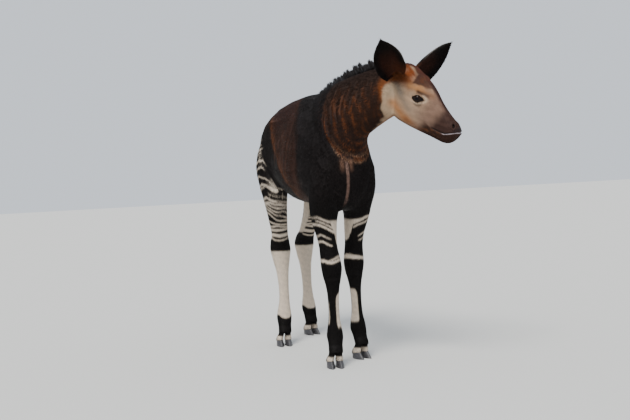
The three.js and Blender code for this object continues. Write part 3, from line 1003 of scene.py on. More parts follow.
# Stripes of the hind legs, from the rump down: how white, then (angle, height, width) along each.
# The angle goes round the leg: 0 is outward, 90 to the rear, -90 ahead. Both ends run out.
HIND_STRIPES = [
    (0.5, (75, 930, 4), (16, 954, 6), (1, 956, 4)),
    (0.6, (95, 895, 5), (38, 930, 7), (14, 931, 7), (-4, 932, 4)),
    (0.75, (110, 865, 6), (50, 888, 8), (22, 902, 9), (5, 912, 9), (-19, 917, 5)),
    (0.7, (120, 838, 6), (50, 862, 8), (20, 879, 8), (9, 895, 7), (-8, 898, 5)),
    (
        1.0,
        (140, 800, 7), (60, 825, 9), (26, 845, 10), (0, 858, 10), (-23, 863, 9), (-31, 848, 7),
        (-38, 833, 5),
    ),
    (
        0.95,
        (140, 775, 7), (60, 795, 8), (21, 814, 8), (2, 826, 8), (-16, 832, 8), (-24, 826, 7),
        (-31, 816, 5),
    ),
    (
        1.0,
        (140, 742, 8), (60, 758, 9), (29, 775, 8), (6, 790, 8), (-12, 781, 7), (-27, 780, 8),
        (-40, 767, 9), (-48, 757, 8), (-54, 744, 5),
    ),
    (
        1.0,
        (150, 712, 9), (60, 728, 9), (28, 738, 9), (-4, 753, 10), (-26, 746, 15), (-46, 731, 20),
        (-62, 724, 18), (-79, 728, 9), (-110, 732, 7), (-150, 736, 6),
    ),
    (0.9, (140, 695, 6), (60, 710, 7), (24, 723, 8), (15, 731, 8), (-13, 741, 9)),
    (0.9, (-24, 712, 4), (-28, 706, 5), (-48, 700, 5), (-77, 695, 5), (-140, 688, 5)),
    (
        0.95,
        (150, 655, 7), (60, 672, 8), (19, 683, 10), (-9, 691, 11), (-33, 680, 10), (-57, 673, 8),
        (-81, 671, 8), (-140, 668, 8),
    ),
    (0.9, (50, 664, 8), (-25, 669, 10), (-51, 661, 9), (-76, 658, 9), (-140, 654, 9)),
    (
        0.95,
        (150, 635, 7), (60, 652, 8), (29, 659, 9), (-6, 661, 9), (-32, 651, 8), (-54, 645, 7),
        (-75, 642, 7), (-119, 643, 7), (-145, 632, 8),
    ),
    (
        0.95,
        (70, 640, 6), (27, 652, 6), (10, 652, 7), (-16, 641, 7), (-39, 630, 7), (-57, 625, 7),
        (-75, 624, 6), (-92, 628, 6), (-119, 622, 7), (-145, 612, 8),
    ),
    (
        0.95,
        (150, 606, 6), (60, 630, 6), (28, 643, 6), (1, 634, 8), (-23, 626, 8), (-40, 615, 7),
        (-56, 607, 6), (-74, 607, 6), (-95, 602, 7), (-140, 592, 8),
    ),
    (
        0.95,
        (70, 610, 6), (26, 623, 6), (-13, 614, 8), (-36, 599, 7), (-54, 588, 7), (-73, 584, 7),
        (-95, 585, 7), (-140, 581, 8),
    ),
    (
        1.0,
        (150, 566, 7), (60, 582, 7), (20, 588, 7), (6, 580, 8), (-23, 572, 9), (-51, 567, 8),
        (-82, 565, 8), (-145, 567, 8),
    ),
    (0.95, (150, 548, 7), (60, 556, 7), (-7, 554, 8), (-50, 557, 8), (-82, 554, 8), (-145, 552, 8)),
    (1.0, (150, 526, 9), (18, 540, 10), (-20, 539, 12), (-64, 538, 12), (-93, 539, 11), (-145, 545, 9)),
    (
        1.0,
        (150, 506, 11), (19, 515, 15), (-31, 515, 16), (-68, 511, 17), (-98, 514, 16),
        (-145, 520, 13),
    ),
    (0.9, (110, 498, 6), (0, 500, 7), (-32, 490, 8), (-68, 488, 9), (-100, 492, 8), (-140, 501, 6)),
]

# Stripes of the forelegs, in the same way. The two legs differ.
FORE_STRIPES = {
    "foreleg_right": [
        (
            0.9,
            (20, 622, 4), (-37, 626, 6), (-58, 618, 8), (-83, 608, 9), (-103, 603, 11),
            (-140, 602, 14),
        ),
        (
            0.9,
            (-20, 614, 5), (-49, 607, 7), (-70, 598, 7), (-88, 591, 8), (-111, 580, 9),
            (-140, 572, 12),
        ),
        (
            1.0,
            (80, 582, 5), (40, 592, 7), (13, 597, 9), (-24, 597, 11), (-46, 593, 11),
            (-67, 584, 11), (-90, 574, 11), (-118, 562, 13), (-150, 556, 12),
        ),
        (0.75, (30, 537, 5), (17, 543, 6), (-36, 553, 8), (-57, 546, 8), (-77, 538, 7), (-96, 532, 5)),
        (
            0.95,
            (60, 510, 5), (28, 519, 8), (-16, 525, 9), (-42, 526, 10), (-59, 519, 10),
            (-76, 511, 9), (-101, 505, 5),
        ),
        (0.95, (-60, 446, 4), (-75, 449, 7), (-110, 457, 8), (-140, 461, 9), (-179, 460, 9)),
        (0.95, (179, 460, 9), (120, 454, 8), (80, 449, 5)),
        (
            1.0,
            (179, 446, 8), (90, 446, 10), (15, 446, 13), (-32, 445, 14), (-68, 438, 12),
            (-92, 441, 10), (-123, 447, 9), (-179, 446, 8),
        ),
    ],
    "foreleg_left": [
        (
            1.0,
            (30, 620, 5), (-38, 618, 9), (-68, 614, 12), (-90, 605, 15), (-110, 599, 20),
            (-140, 594, 26),
        ),
        (
            0.95,
            (60, 598, 5), (20, 605, 6), (-40, 602, 8), (-68, 592, 10), (-102, 582, 10),
            (-126, 573, 9),
        ),
        (0.85, (40, 544, 5), (0, 554, 7), (-50, 549, 8), (-74, 540, 8), (-92, 534, 5)),
        (0.85, (40, 520, 5), (0, 530, 7), (-39, 528, 8), (-63, 519, 8), (-84, 515, 5)),
        (
            1.0,
            (179, 445, 17), (90, 438, 12), (20, 433, 11), (-30, 434, 11), (-72, 440, 14),
            (-95, 443, 15), (-125, 446, 18), (-162, 448, 20), (-179, 445, 17),
        ),
    ],
}

# Lower edge of the white on a foreleg's inner side: the way round, with 90 ahead and 180 inward,
# and height.
INNER_EDGE = {
    "foreleg_right": (
        (80, 620), (100, 602), (120, 560), (130, 533), (139, 514), (160, 508), (200, 540), (230, 620),
    ),
    "foreleg_left": (
        (80, 640), (110, 608), (128, 580), (134, 552), (150, 524), (180, 514), (205, 530), (235, 620),
    ),
}


def stripes_white(angle, height, stripes):
    """How white the stripes are at each angle and height."""
    value = np.zeros(len(angle))
    for strength, *line in stripes:
        at, level, width = np.array(line, float)[np.argsort([p[0] for p in line])].T
        ends = between(angle, at[0] - 5, at[0] + 5, at[-1] - 5, at[-1] + 5)
        half = (np.interp(angle, at, width) / 2 - 0.5) * (0.35 + 0.65 * ends)
        far = np.abs(height - np.interp(angle, at, level))
        value = np.maximum(value, strength * ends * (1 - smooth(far, half - 1.2, half + 1.2)))
    return value


def hind_white(h, shift, back, angle):
    """How white a hind leg is: stripes, the thigh's inner side and the cannon."""
    value = stripes_white(angle, h + shift, HIND_STRIPES)
    inner = smooth(np.abs(angle), 132, 146) * between(h, 498, 512, 700, 740)
    value = np.maximum(value, 0.92 * inner)
    dip = 16 * smooth(-back, 0.3, 1.0)
    cannon = (1 - smooth(h, HOCK - 6, HOCK - 1)) * smooth(h, 139 - dip, 145 - dip)
    return np.maximum(value, cannon)


def fore_white(name, h, wave, out, back, angle):
    """How white a foreleg is: stripes, the inner side, and a wide and a thin patch on the cannon."""
    value = stripes_white(angle, h, FORE_STRIPES[name])
    turn = np.where(angle > 90, 360 - angle, -angle)
    above = h - on_line(turn, INNER_EDGE[name])
    inner = smooth(above, -2, 3) * (1 - smooth(h, 604, 611)) * smooth(turn, 98, 106)
    value = np.maximum(value, 0.95 * inner)
    round_end = 0.5 * ((h - 226) / 84) ** 6
    patch = smooth(-out - round_end, 0.02, 0.16) * (1 - smooth(back + round_end, 0.25, 0.45))
    tall = between(h, 152 + 14 * wave, 162 + 14 * wave, 296 + 8 * wave, 308 + 8 * wave)
    value = np.maximum(value, 0.97 * patch * tall)
    thin = (1 - smooth(np.abs(angle + 3 - 5 * wave), 9, 14)) * between(h, 172, 186, 262, 276)
    return np.maximum(value, 0.85 * thin)


def leg_white(points):
    """How white the legs are at each point."""
    white = np.zeros(len(points))
    names = nearest_leg(points)
    z = points[:, 2]
    for name, leg in LEGS.items():
        mine = (names == name) & (z < MARKS_TOP)
        if not mine.any():
            continue
        spot = points[mine]
        out, back, angle = leg_place(spot, leg)
        wave = wobble(spot, 60, 0.7 + leg["side"])
        h = spot[:, 2] + 1.5 * wave
        if "hind" in name:
            shift = 0 if leg["side"] < 0 else 8 * wobble(spot, 300, 3.0) + 5
            value = hind_white(h, shift, back, angle)
        else:
            value = fore_white(name, h, wave, out, back, angle)
        coronet = (1 - smooth(h, 44, 50)) * (1 - 0.85 * smooth(back, 0.1, 0.8))
        white[mine] = np.maximum(value, 0.95 * coronet)
    return white


# Lower edge of the dark forehead, in the head's frame: forward and up.
FOREHEAD_EDGE = ((40, 8), (82, 8), (98, -24), (115, -14), (132, -2), (150, 7), (170, 17), (200, 30))

# Rear edge of the pale cheek, in the head's frame: up and forward.
CHEEK_EDGE = ((-200, 116), (-190, 92), (-162, 71), (-136, 33), (-104, 16), (-60, 22), (-20, 30))

# Bands of the cheek on the head's side: from and to (forward, up), width, share and tint.
CHEEK_BANDS = [
    # Painted shade: a grey band down the cheek, in two pieces.
    (((44, -72), (96, -86)), 13, 0.8, "cheek_painted_shade"),
    (((96, -86), (166, -102)), 12, 0.6, "cheek_front_painted_shade"),
    (((100, -136), (182, -146)), 20, 0.9, "orange_tan"),
    (((182, -140), (242, -136)), 17, 0.9, "brown_tan"),
    (((184, -88), (232, -80)), 22, 0.5, "pale_fawn"),
]


def band(place, line, width):
    """exp(-(d / width)^2), d being the distance on the head's side from a straight line between two
    places (forward, up)."""
    start, end = np.array(line, float)
    way = end - start
    off = place[:, :2] - start
    off = off - np.clip(off @ way / (way @ way), 0, 1)[:, None] * way
    return np.exp(-(off**2).sum(1) / width**2)


def spot(place, forward, up, length, height):
    """A soft oval on the head's side: the product of a bell each way."""
    return bell(place[:, 0], forward, length) * bell(place[:, 1], up, height)


def head_waves(place):
    """A slow wave that makes borders uneven and a fine one that gives streaks of hair."""
    return wobble(place, 38, 0.4), wobble(place * (0.4, 1.3, 1), 13, 2.4)


def cheek_colour(place, colour):
    """Rust behind the cheek, dark crown, fawn cheek with its bands, and russet round the ears'
    roots."""
    forward, up, side = place.T
    lateral = np.abs(side)
    wave, fine = head_waves(place)
    edge = forward - on_line(up, CHEEK_EDGE) + 5 * wave
    behind = between(edge, -44, -14, -4, 5) * smooth(up, -178, -140) * smooth(lateral, 16, 34)
    colour = paint(colour, 0.85 * behind, "chestnut")
    colour = paint(colour, 0.9 * behind * smooth(edge, -20, -6), "rust")
    colour = paint(colour, smooth(forward, -20, 4) * smooth(up, -70, -30), "crown")
    face_edge = smooth(edge, -4, 5)
    face = face_edge * smooth(lateral, 12, 26) * smooth(forward, 8, 24)
    colour = paint(colour, face, "fawn")
    cream = band(place, ((50, -112), (112, -160)), 30) * smooth(lateral, 22, 36)
    colour = paint(colour, 0.9 * cream * smooth(edge, -2, 8), "cream")
    # The first two bands are painted shade; the others are the cheek's own tints.
    for line, width, share, tint in CHEEK_BANDS:
        colour = paint(colour, share * band(place, line, width) * face, tint)
    underside = (1 - smooth(lateral, 12, 28)) * face_edge
    colour = paint(colour, underside * smooth(-up, 90, 130) * smooth(forward, 20, 60), "underside")
    fringe = band(place, ((14, -118), (38, -62)), 11) + band(place, ((36, -62), (66, -38)), 15)
    colour = paint(colour, 0.97 * fringe * smooth(lateral, 28, 44), "ear_fringe")
    root = spot(place, 42, -50, 26, 22) * bell(lateral, 54, 24)
    colour = paint(colour, 1.3 * root, "ear_root")
    patch = spot(place, 62, -14, 34, 31) + 0.6 * spot(place, 92, -34, 20, 16)
    patch += 0.5 * spot(place, 36, 0, 30, 16)
    patch *= (1 - smooth(up, -4, 12)) * smooth(lateral, 12, 26)
    return paint(colour, 1.2 * patch * (0.85 + 0.25 * fine), "russet")


def brow_colour(place, colour):
    """Tan over the eye, dark forehead, dark ridge of the nose and the brow's line."""
    forward, up, side = place.T
    lateral = np.abs(side)
    wave, fine = head_waves(place)
    tan = band(place, ((100, -38), (138, -13)), 14) + band(place, ((138, -13), (190, 0)), 13)
    colour = paint(colour, 0.95 * tan * smooth(lateral, 16, 28), "brow_tan")
    above = up - on_line(forward, FOREHEAD_EDGE) + 3 * wave
    forehead = smooth(above, -5, 5) * between(forward, 40, 60, 180, 200)
    colour = paint(colour, 0.95 * forehead, "forehead")
    colour = paint(colour, 0.5 * forehead * smooth(fine + wave, 0.0, 0.9), "forehead_hairs")
    ridge = 1 - smooth(lateral - 6 * smooth(forward, 90, 200), 10, 21)
    ridge *= smooth(up, -45, -12)
    colour = paint(colour, ridge, "maroon")
    colour = paint(colour, 0.85 * ridge * smooth(forward, 118, 150), "ridge_front")
    colour = paint(colour, 0.6 * spot(place, 84, 6, 18, 12) * (lateral < 44), "horn_bump")
    brow = band(place, ((141, -26), (178, -9)), 7.5) * smooth(lateral, 24, 38)
    return paint(colour, 0.95 * brow, "brow")


def muzzle_colour(place, colour):
    """Grey-brown bridge of the nose, dark muzzle and jaw, and the lip's pale edge."""
    forward, up, side = place.T
    wave, fine = head_waves(place)
    hairy = 1 - smooth(forward, 300, 330)
    nose = smooth(forward + 0.45 * up + 5 * wave, 118, 215) * smooth(np.abs(side), 6, 20)
    colour = paint(colour, 0.85 * nose, "nose")
    colour = paint(colour, 0.3 * smooth(fine, 0.1, 0.9) * nose, "nose_hairs")
    muzzle = smooth(forward + 0.1 * up + 5 * wave, 236, 280)
    colour = paint(colour, muzzle, "muzzle")
    colour = paint(colour, 0.4 * muzzle * smooth(fine, 0.0, 0.8) * hairy, "muzzle_hairs")
    line = on_line(forward, MOUTH)
    jaw = smooth(line - up, 0, 10) * smooth(forward, 222, 262)
    colour = paint(colour, 0.95 * jaw, "jaw")
    colour = paint(colour, 0.7 * jaw * smooth(fine + wave, 0.1, 0.9) * hairy, "jaw_hairs")
    pad = smooth(forward, 334, 350) * smooth(up - line, 4, 12)
    colour = paint(colour, 0.8 * pad, "nose_pad")
    thick = 1.6 + 1.6 * smooth(forward, 318, 340)
    lip = bell(line - up, 3.6, thick) * smooth(forward, 312, 330)
    colour = paint(colour, 0.95 * lip, "lip")
    # Painted shade along the crease between the lips.
    mouth_shade = bell(up, line, 1.7) * smooth(forward, 268, 280)
    return paint(colour, 0.95 * mouth_shade, "painted_mouth_shade")


def opening_colour(place, colour):
    """Painted shade in the nostrils, and a pale ring, a dark corner and dark lids round each eye."""
    # Painted shade inside each nostril.
    nostril = 1 - smooth(nostril_oval(place, *NOSTRIL_HALVES), 0.7, 1.05)
    for sign in (1, -1):
        colour = paint(colour, nostril * (place[:, 2] * sign > 8), "nostril")
        ring, depth, x, y = eye_opening(place, sign)
        near = depth > -12
        pale = bell(ring, 1.95, 0.4) * smooth(x - 1.5 * y, -16, 4)
        colour = paint(colour, 0.85 * near * pale, "eye_ring")
        corner = bell(x, 24, 6) * bell(y, -2, 3.4)
        colour = paint(colour, 0.95 * near * corner, "eye_corner")
        colour = paint(colour, near * (1 - smooth(ring, 1.28, 1.5)), "eye_lid")
    return colour


def head_colour(place, colour):
    """Face markings over a ground colour, in the head's frame. The ground shows behind the cheek."""
    colour = cheek_colour(place, colour)
    colour = brow_colour(place, colour)
    colour = muzzle_colour(place, colour)
    return opening_colour(place, colour)


# Lines on the body at each height: the shoulder's rear edge and the thigh's front seam, as y, and
# the middle of the chest, as x.
SHOULDER_EDGE = ((660, -170), (735, -150), (837, -142), (958, -112), (1050, -50), (1120, 20))
THIGH_SEAM = ((740, -60), (762, -29), (812, 10), (858, 54), (922, 113), (1010, 203), (1080, 290))
CHEST_LINE = ((690, -20), (850, -33))


def body_colour(points):
    """Brown flank and back, a rust seam before the black thigh, and a black shoulder; painted sheen
    lightens the top of the back and the shoulder.
    """
    x, y, z = points.T
    upright = wobble(points * (1, 1, 0.18), 46, 4.0)
    slow = wobble(points, 210, 0.9)
    colour = plain(len(points), "flank")
    colour = paint(colour, 0.45 * smooth(upright + slow, 0.0, 1.2), "flank_light")
    # Top of the back: its own maroon tint together with a painted sheen that lightens it.
    colour = paint(colour, 0.55 * smooth(z, 960, 1110) * smooth(y, -100, 100), "back")
    seam = y - on_line(z, THIGH_SEAM)
    outer = smooth(np.abs(x), 60, 100)
    rust = bell(seam, 0, 13) + 0.35 * bell(seam, -22, 26)
    uneven = 0.62 + 0.38 * upright
    colour = paint(colour, uneven * rust * outer * (1 - smooth(z, 1040, 1090)), "seam_rust")
    below = 1 - smooth(z, 985, 1060)
    colour = paint(colour, 0.96 * smooth(seam, 6, 20) * below * outer, "thigh_black")
    colour = paint(colour, 0.85 * smooth(y, 330, 400) * below, "thigh_black")
    shoulder = y - on_line(z, SHOULDER_EDGE)
    dark = 1 - smooth(shoulder + 16 * upright + 8 * slow, -24, 20)
    colour = paint(colour, 0.97 * dark, "shoulder_black")
    # Painted grey-blue sheen on the upper black shoulder, following the upright streaks.
    sheen = smooth(z, 860, 1030) * smooth(upright, -0.1, 0.9) * dark
    return paint(colour, 0.5 * sheen, "painted_shoulder_sheen")


def neck_colour(points, colour):
    """Dark neck with rust folds on the throat's side, a pale collar and a dark upper throat."""
    z = points[:, 2]
    edge = neck_edge(points)
    _, height, inside = neck_place(points)
    neck = smooth(edge, -0.05, 0.07) * (points[:, 1] < -120) * smooth(z, 832, 852) * inside
    colour = paint(colour, neck, "neck")
    throat = 1 - smooth(height, -0.55, 0.75)
    slow_turn = edge * TAU / (2 * FOLD_STEP) + 1.6 * wobble(points, 120, 1.3) + 0.6
    fine_turn = edge * TAU / 0.17 + 2.2 * wobble(points, 90, 2.2)
    fold = 0.62 * (0.5 + 0.5 * np.sin(slow_turn)) + 0.38 * (0.5 + 0.5 * np.sin(fine_turn))
    streak = smooth(fold + 0.3 * wobble(points * (1, 1, 0.25), 18, 3.3), 0.42, 1.05)
    warm = throat * (1 - 0.75 * smooth(edge, 1.6, 2.6))
    warm += 0.9 * smooth(edge, 2.9, 3.7) * (1 - smooth(height, 0.4, 0.95))
    colour = paint(colour, 0.95 * neck * np.clip(warm, 0, 1) * streak, "neck_rust")
    colour = paint(colour, 0.4 * neck * throat * (1 - streak), "neck_shade")
    collar = bell(edge, 0.035, 0.03) + 0.7 * bell(edge, 0.24, 0.03)
    low = 1 - smooth(height, -0.86, -0.5)
    colour = paint(colour, 0.75 * collar * low * inside * (z > 780), "collar")
    dark_throat = smooth(edge, 1.7, 2.6) * (1 - smooth(height, -0.95, -0.6))
    return paint(colour, 0.7 * neck * dark_throat, "dark_throat")


def chest_colour(points, colour):
    """A pale line down the middle of the chest and a pale blot on each side of its top."""
    x, y, z = points.T
    middle = np.abs(x - on_line(z, CHEST_LINE))
    line = (1 - smooth(middle, 3.5, 7.5)) * smooth(-y, 300, 340) * between(z, 652, 690, 835, 862)
    colour = paint(colour, 0.8 * line, "chest_line")
    blot = bell(middle, 17, 8) * between(z, 800, 830, 850, 866) * (y < -330)
    return paint(colour, 0.55 * blot, "chest_blot")


def coat_colour(points, region, cup):
    """The coat's colour at own-frame points, region being the number of each point's mass. cup is 1
    on an ear's hollow side."""
    z = points[:, 2]
    names = np.array(REGIONS)[region].astype(str)
    is_leg = (np.char.find(names, "leg") >= 0) | (names == "toes")
    is_ear = np.char.startswith(names, "ear")
    colour = chest_colour(points, neck_colour(points, body_colour(points)))
    place = head_frame(points)
    facing = (place[:, 0] > -40) & (points[:, 1] < -430) & ~is_ear & (z > 800)
    colour[facing] = head_colour(place[facing], colour[facing])
    low = (1 - smooth(z, 640, 720)) * (is_leg | (z < 690))
    colour = paint(colour, low, "leg_black")
    marked = (is_leg | (names == "trunk")) * outside_marks(points)
    colour = paint(colour, marked * leg_white(points), "stripe_white")
    if is_ear.any():
        colour[is_ear] = ear_colour(points[is_ear], region[is_ear], cup[is_ear])
    colour = paint(colour, (names == "tail") * smooth(850 - z, 0, 50), "tail_black")
    uneven = 0.5 + 0.5 * wobble(points, 23, 5.0)
    return colour * (0.92 + 0.16 * uneven)[:, None]


def outside_marks(points):
    """1 where leg markings may lie: off the belly and the chest's front."""
    x, y, z = points.T
    hind = smooth(y, 120, 160) * ((np.abs(x) > 40) | (z < 700))
    return np.maximum(hind, z < 640)


def ear_colour(points, region, cup):
    """Black-brown leaf with a reddish hollow, a black rim and a pale fringe on the upper edge."""
    colour = plain(len(points), "ear")
    for name, pose in EARS.items():
        root, axis, across, _ = ear_frame(pose)
        rel = points - root
        t = rel @ axis / EAR_LENGTH
        v = rel @ across / np.maximum(ear_half(np.clip(t, 0, 1)), 1)
        mine = region == REGIONS.index(name)
        hollow = cup * (1 - smooth(np.abs(v), 0.4, 0.8)) * (1 - smooth(t, 0.35, 0.75))
        colour = paint(colour, mine * 0.8 * hollow, "ear_hollow")
        root_glow = cup * (1 - smooth(t, 0.1, 0.4)) * smooth(across[2] * v, -0.2, 0.5)
        colour = paint(colour, mine * 0.8 * root_glow, "ear_glow")
        foot = (1 - smooth(t, 0.05, 0.3)) * (1 - cup)
        colour = paint(colour, mine * 0.7 * foot, "ear_foot")
        upper = v * across[2] > 0
        fringe = upper * smooth(np.abs(v), 0.86, 0.97) * smooth(t, 0.3, 0.5)
        colour = paint(colour, mine * 0.55 * fringe, "ear_edge")
    return colour


# Materials

def add_node(tree, kind, **values):
    """A shader node with some of its properties set."""
    node = tree.nodes.new(kind)
    for key, value in values.items():
        setattr(node, key, value)
    return node


def new_material(name):
    """An empty node material with its tree and shader."""
    material = bpy.data.materials.new(name)
    material.use_nodes = True
    return material, material.node_tree, material.node_tree.nodes["Principled BSDF"]


def coloured_material(name, attribute, roughness, specular):
    """A material with its tree and shader that reads its colour from a mesh attribute."""
    material, tree, shader = new_material(name)
    colour = add_node(tree, "ShaderNodeAttribute", attribute_name=attribute)
    tree.links.new(colour.outputs["Color"], shader.inputs["Base Color"])
    shader.inputs["Roughness"].default_value = roughness
    shader.inputs["Specular IOR Level"].default_value = specular
    return material, tree, shader


def noise_bump(tree, shader, scale, detail, strength, distance):
    """Bumps by a noise that is finer the larger its scale is that way. Returns the noise."""
    place = add_node(tree, "ShaderNodeTexCoord")
    stretch = add_node(tree, "ShaderNodeMapping")
    stretch.inputs["Scale"].default_value = scale
    noise = add_node(tree, "ShaderNodeTexNoise")
    noise.inputs["Scale"].default_value = 1.0
    noise.inputs["Detail"].default_value = detail
    bump = add_node(tree, "ShaderNodeBump")
    bump.inputs["Strength"].default_value = strength
    bump.inputs["Distance"].default_value = distance
    link = tree.links.new
    link(place.outputs["Object"], stretch.inputs["Vector"])
    link(stretch.outputs["Vector"], noise.inputs["Vector"])
    link(noise.outputs["Fac"], bump.inputs["Height"])
    link(bump.outputs["Normal"], shader.inputs["Normal"])
    return noise


def skin_material():
    """Skin under the coat: the markings' colours and hair-fine upright bumps."""
    material, tree, shader = coloured_material("okapi_skin", "coat", 0.6, 0.12)
    noise_bump(tree, shader, (520, 520, 90), 3.0, 0.5, 0.0012)
    return material


def coat_material():
    """Hair: the tuft's own colour with a soft sheen."""
    return coloured_material("okapi_coat", "coat", 0.5, 0.13)[0]


def eye_material():
    """Wet dark eye with a level pupil, by its own attribute."""
    return coloured_material("okapi_eye", "iris", 0.08, 0.1)[0]


def hoof_material():
    """Grey horn with level growth rings."""
    material, tree, shader = new_material("okapi_hoof")
    noise = noise_bump(tree, shader, (60, 60, 420), 4.0, 0.4, 0.001)
    ramp = add_node(tree, "ShaderNodeValToRGB")
    dark, light = ramp.color_ramp.elements
    dark.position, dark.color = 0.3, (0.012, 0.0115, 0.013, 1)
    light.position, light.color = 0.75, (0.075, 0.072, 0.08, 1)
    tree.links.new(noise.outputs["Fac"], ramp.inputs["Fac"])
    tree.links.new(ramp.outputs["Color"], shader.inputs["Base Color"])
    shader.inputs["Roughness"].default_value = 0.42
    return material


def shared_material(name, make):
    """The material of that name, made on its first use."""
    return bpy.data.materials.get(name) or make()


def set_colours(mesh, name, colours):
    """A colour attribute at the mesh's points."""
    layer = mesh.attributes.new(name, "FLOAT_COLOR", "POINT")
    rgba = np.ones((len(colours), 4))
    rgba[:, :3] = colours
    layer.data.foreach_set("color", rgba.ravel())


# The skin

def trunk_flow(points):
    """The way of the trunk's hair: down on the chest and the thighs, back and down on the sides."""
    y = points[..., 1]
    level = 0.15 + 0.85 * smooth(y, -390, -150) * (1 - 0.6 * smooth(y, 180, 360))
    fall = 1 - 0.5 * smooth(y, -390, -150) + 0.4 * smooth(y, 180, 360)
    return unit(np.stack([0 * y, level, -fall], -1))


def masses_tree(masses):
    """A search tree over all rings, with each point's region, place on the unwrap and hair's way."""
    points, regions, unwraps, flows = [], [], [], []
    for region, rings in masses:
        rows, count, _ = rings.shape
        flow = unit(np.gradient(rings, axis=0))
        if region == "trunk":
            flow = trunk_flow(rings)
        if region == "neck":
            flow = unit(flow + np.array((0, 0, -0.45)))
        left, bottom, width, height = CELLS[region]
        u, v = np.meshgrid(np.arange(count) / count, np.linspace(0, 1, rows))
        points.append(rings.reshape(-1, 3))
        flows.append(flow.reshape(-1, 3))
        unwraps.append(np.stack([left + width * u, bottom + height * v], -1).reshape(-1, 2))
        regions.append(np.full(rows * count, REGIONS.index(region)))
    points = np.concatenate(points)
    tree = KDTree(len(points))
    for i, point in enumerate(points.tolist()):
        tree.insert(point, i)
    tree.balance()
    return tree, np.concatenate(regions), np.concatenate(unwraps), np.concatenate(flows)


def near_detail(place):
    """True where the head needs a finer net: round the eyes, the mouth and the nostrils."""
    forward, up, side = place.T
    line = on_line(forward, MOUTH)
    mouth = (forward > 262) & (np.abs(up - line) < 14)
    nose = (np.abs(forward - NOSTRIL[0]) < 20) & (np.abs(up - NOSTRIL[1]) < 18)
    nose &= np.abs(side) < 42
    eyes = np.zeros(len(place), bool)
    for sign in (1, -1):
        ring, depth, _, _ = eye_opening(place, sign)
        eyes |= (ring < 2.4) & (depth > -6)
    return mouth | nose | eyes


def split_detail(mesh):
    """Halves the edges of the faces that lie in the detailed parts of the head."""
    place = head_frame(to_own(get_points(mesh)))
    chosen = near_detail(place)
    work = bmesh.new()
    work.from_mesh(mesh)
    work.verts.ensure_lookup_table()
    edges = [e for e in work.edges if chosen[e.verts[0].index] and chosen[e.verts[1].index]]
    bmesh.ops.subdivide_edges(work, edges=edges, cuts=1, use_grid_fill=True)
    bmesh.ops.triangulate(work, faces=[f for f in work.faces if len(f.verts) > 4])
    work.to_mesh(mesh)
    work.free()


def join_masses(settings):
    """One closed net over all masses, relaxed where they meet."""
    points, faces = join_nets([tube(rings) for _, rings in body_masses()])
    skin = mesh_object("skin", to_row(points), faces)
    right_side_out(skin.data)
    remesh = skin.modifiers.new("join", "REMESH")
    remesh.mode = "VOXEL"
    remesh.voxel_size = settings.voxel
    bake_modifiers(skin)
    mesh = skin.data
    own = to_own(get_points(mesh))
    place = head_frame(own)
    head = smooth(place[:, 0], -10, 50) * (own[:, 1] < -380)
    body = smooth(own[:, 2], 560, 680) * (1 - 0.9 * head)
    edges = get_edges(mesh)
    own = relax(own, edges, 0.5 * np.maximum(body, 0.05), 70)
    own = relax(own, edges, 0.5, 3)
    set_points(mesh, to_row(own))
    return skin


def form_skin(skin):
    """Lays muscles, folds, tendons, lips, nostrils and lids into the joined net."""
    mesh = skin.data
    split_detail(mesh)
    own = to_own(get_points(mesh))
    normals = get_normals(mesh)
    place = head_frame(own)
    in_head = (place[:, 0] > -30) & (own[:, 1] < -380)
    headness = smooth(place[:, 0], -20, 20) * in_head
    neckness = smooth(-own[:, 1], 230, 330) * smooth(own[:, 2], 820, 860) * (1 - headness)
    amount = swell(own, SWELLINGS, 0) * (1 - headness)
    amount += neck_form(own, neckness)
    amount += leg_form(own)
    amount[in_head] += (head_form(place) * headness)[in_head]
    ribs = np.sin(own[:, 1] * TAU / RIB_STEP) * between(own[:, 1], -120, -40, 120, 190)
    amount += 0.8 * ribs * between(own[:, 2], 740, 820, 960, 1040)
    own += normals * amount[:, None]
    own[in_head] = head_point(fit_lids(head_frame(own[in_head])))
    set_points(mesh, to_row(own))


def thin_out(skin, settings):
    """Fewer triangles where the skin is plain: trunk and neck first, head and legs last."""
    mesh = skin.data
    own = to_own(get_points(mesh))
    place = head_frame(own)
    head = smooth(place[:, 0], -30, 10) * (own[:, 1] < -380)
    keep = np.maximum(head, 0.55 * (1 - smooth(own[:, 2], 600, 760)))
    group = skin.vertex_groups.new(name="plain")
    level = np.round((1 - keep) * 10).astype(int)
    for step in range(1, 11):
        group.add(np.nonzero(level == step)[0].tolist(), step / 10, "REPLACE")
    count = sum(len(p.vertices) - 2 for p in mesh.polygons)
    thin = skin.modifiers.new("thin", "DECIMATE")
    thin.ratio = settings.most_triangles / count
    thin.vertex_group = group.name
    thin.use_collapse_triangulate = True
    bake_modifiers(skin)
    skin.vertex_groups.clear()


def add_ears(skin):
    """Joins the ears' leaves to the skin's net and returns how many points were there before."""
    mesh = skin.data
    count = len(mesh.vertices)
    nets = [(get_points(mesh), [list(p.vertices) for p in mesh.polygons])]
    for pose in EARS.values():
        ear, ear_faces = tube(ear_rings(pose))
        nets.append((to_row(ear), ear_faces))
    points, faces = join_nets(nets)
    whole = bpy.data.meshes.new("skin_net")
    whole.from_pydata(points.tolist(), [], faces)
    whole.update()
    skin.data = whole
    right_side_out(whole)
    return count


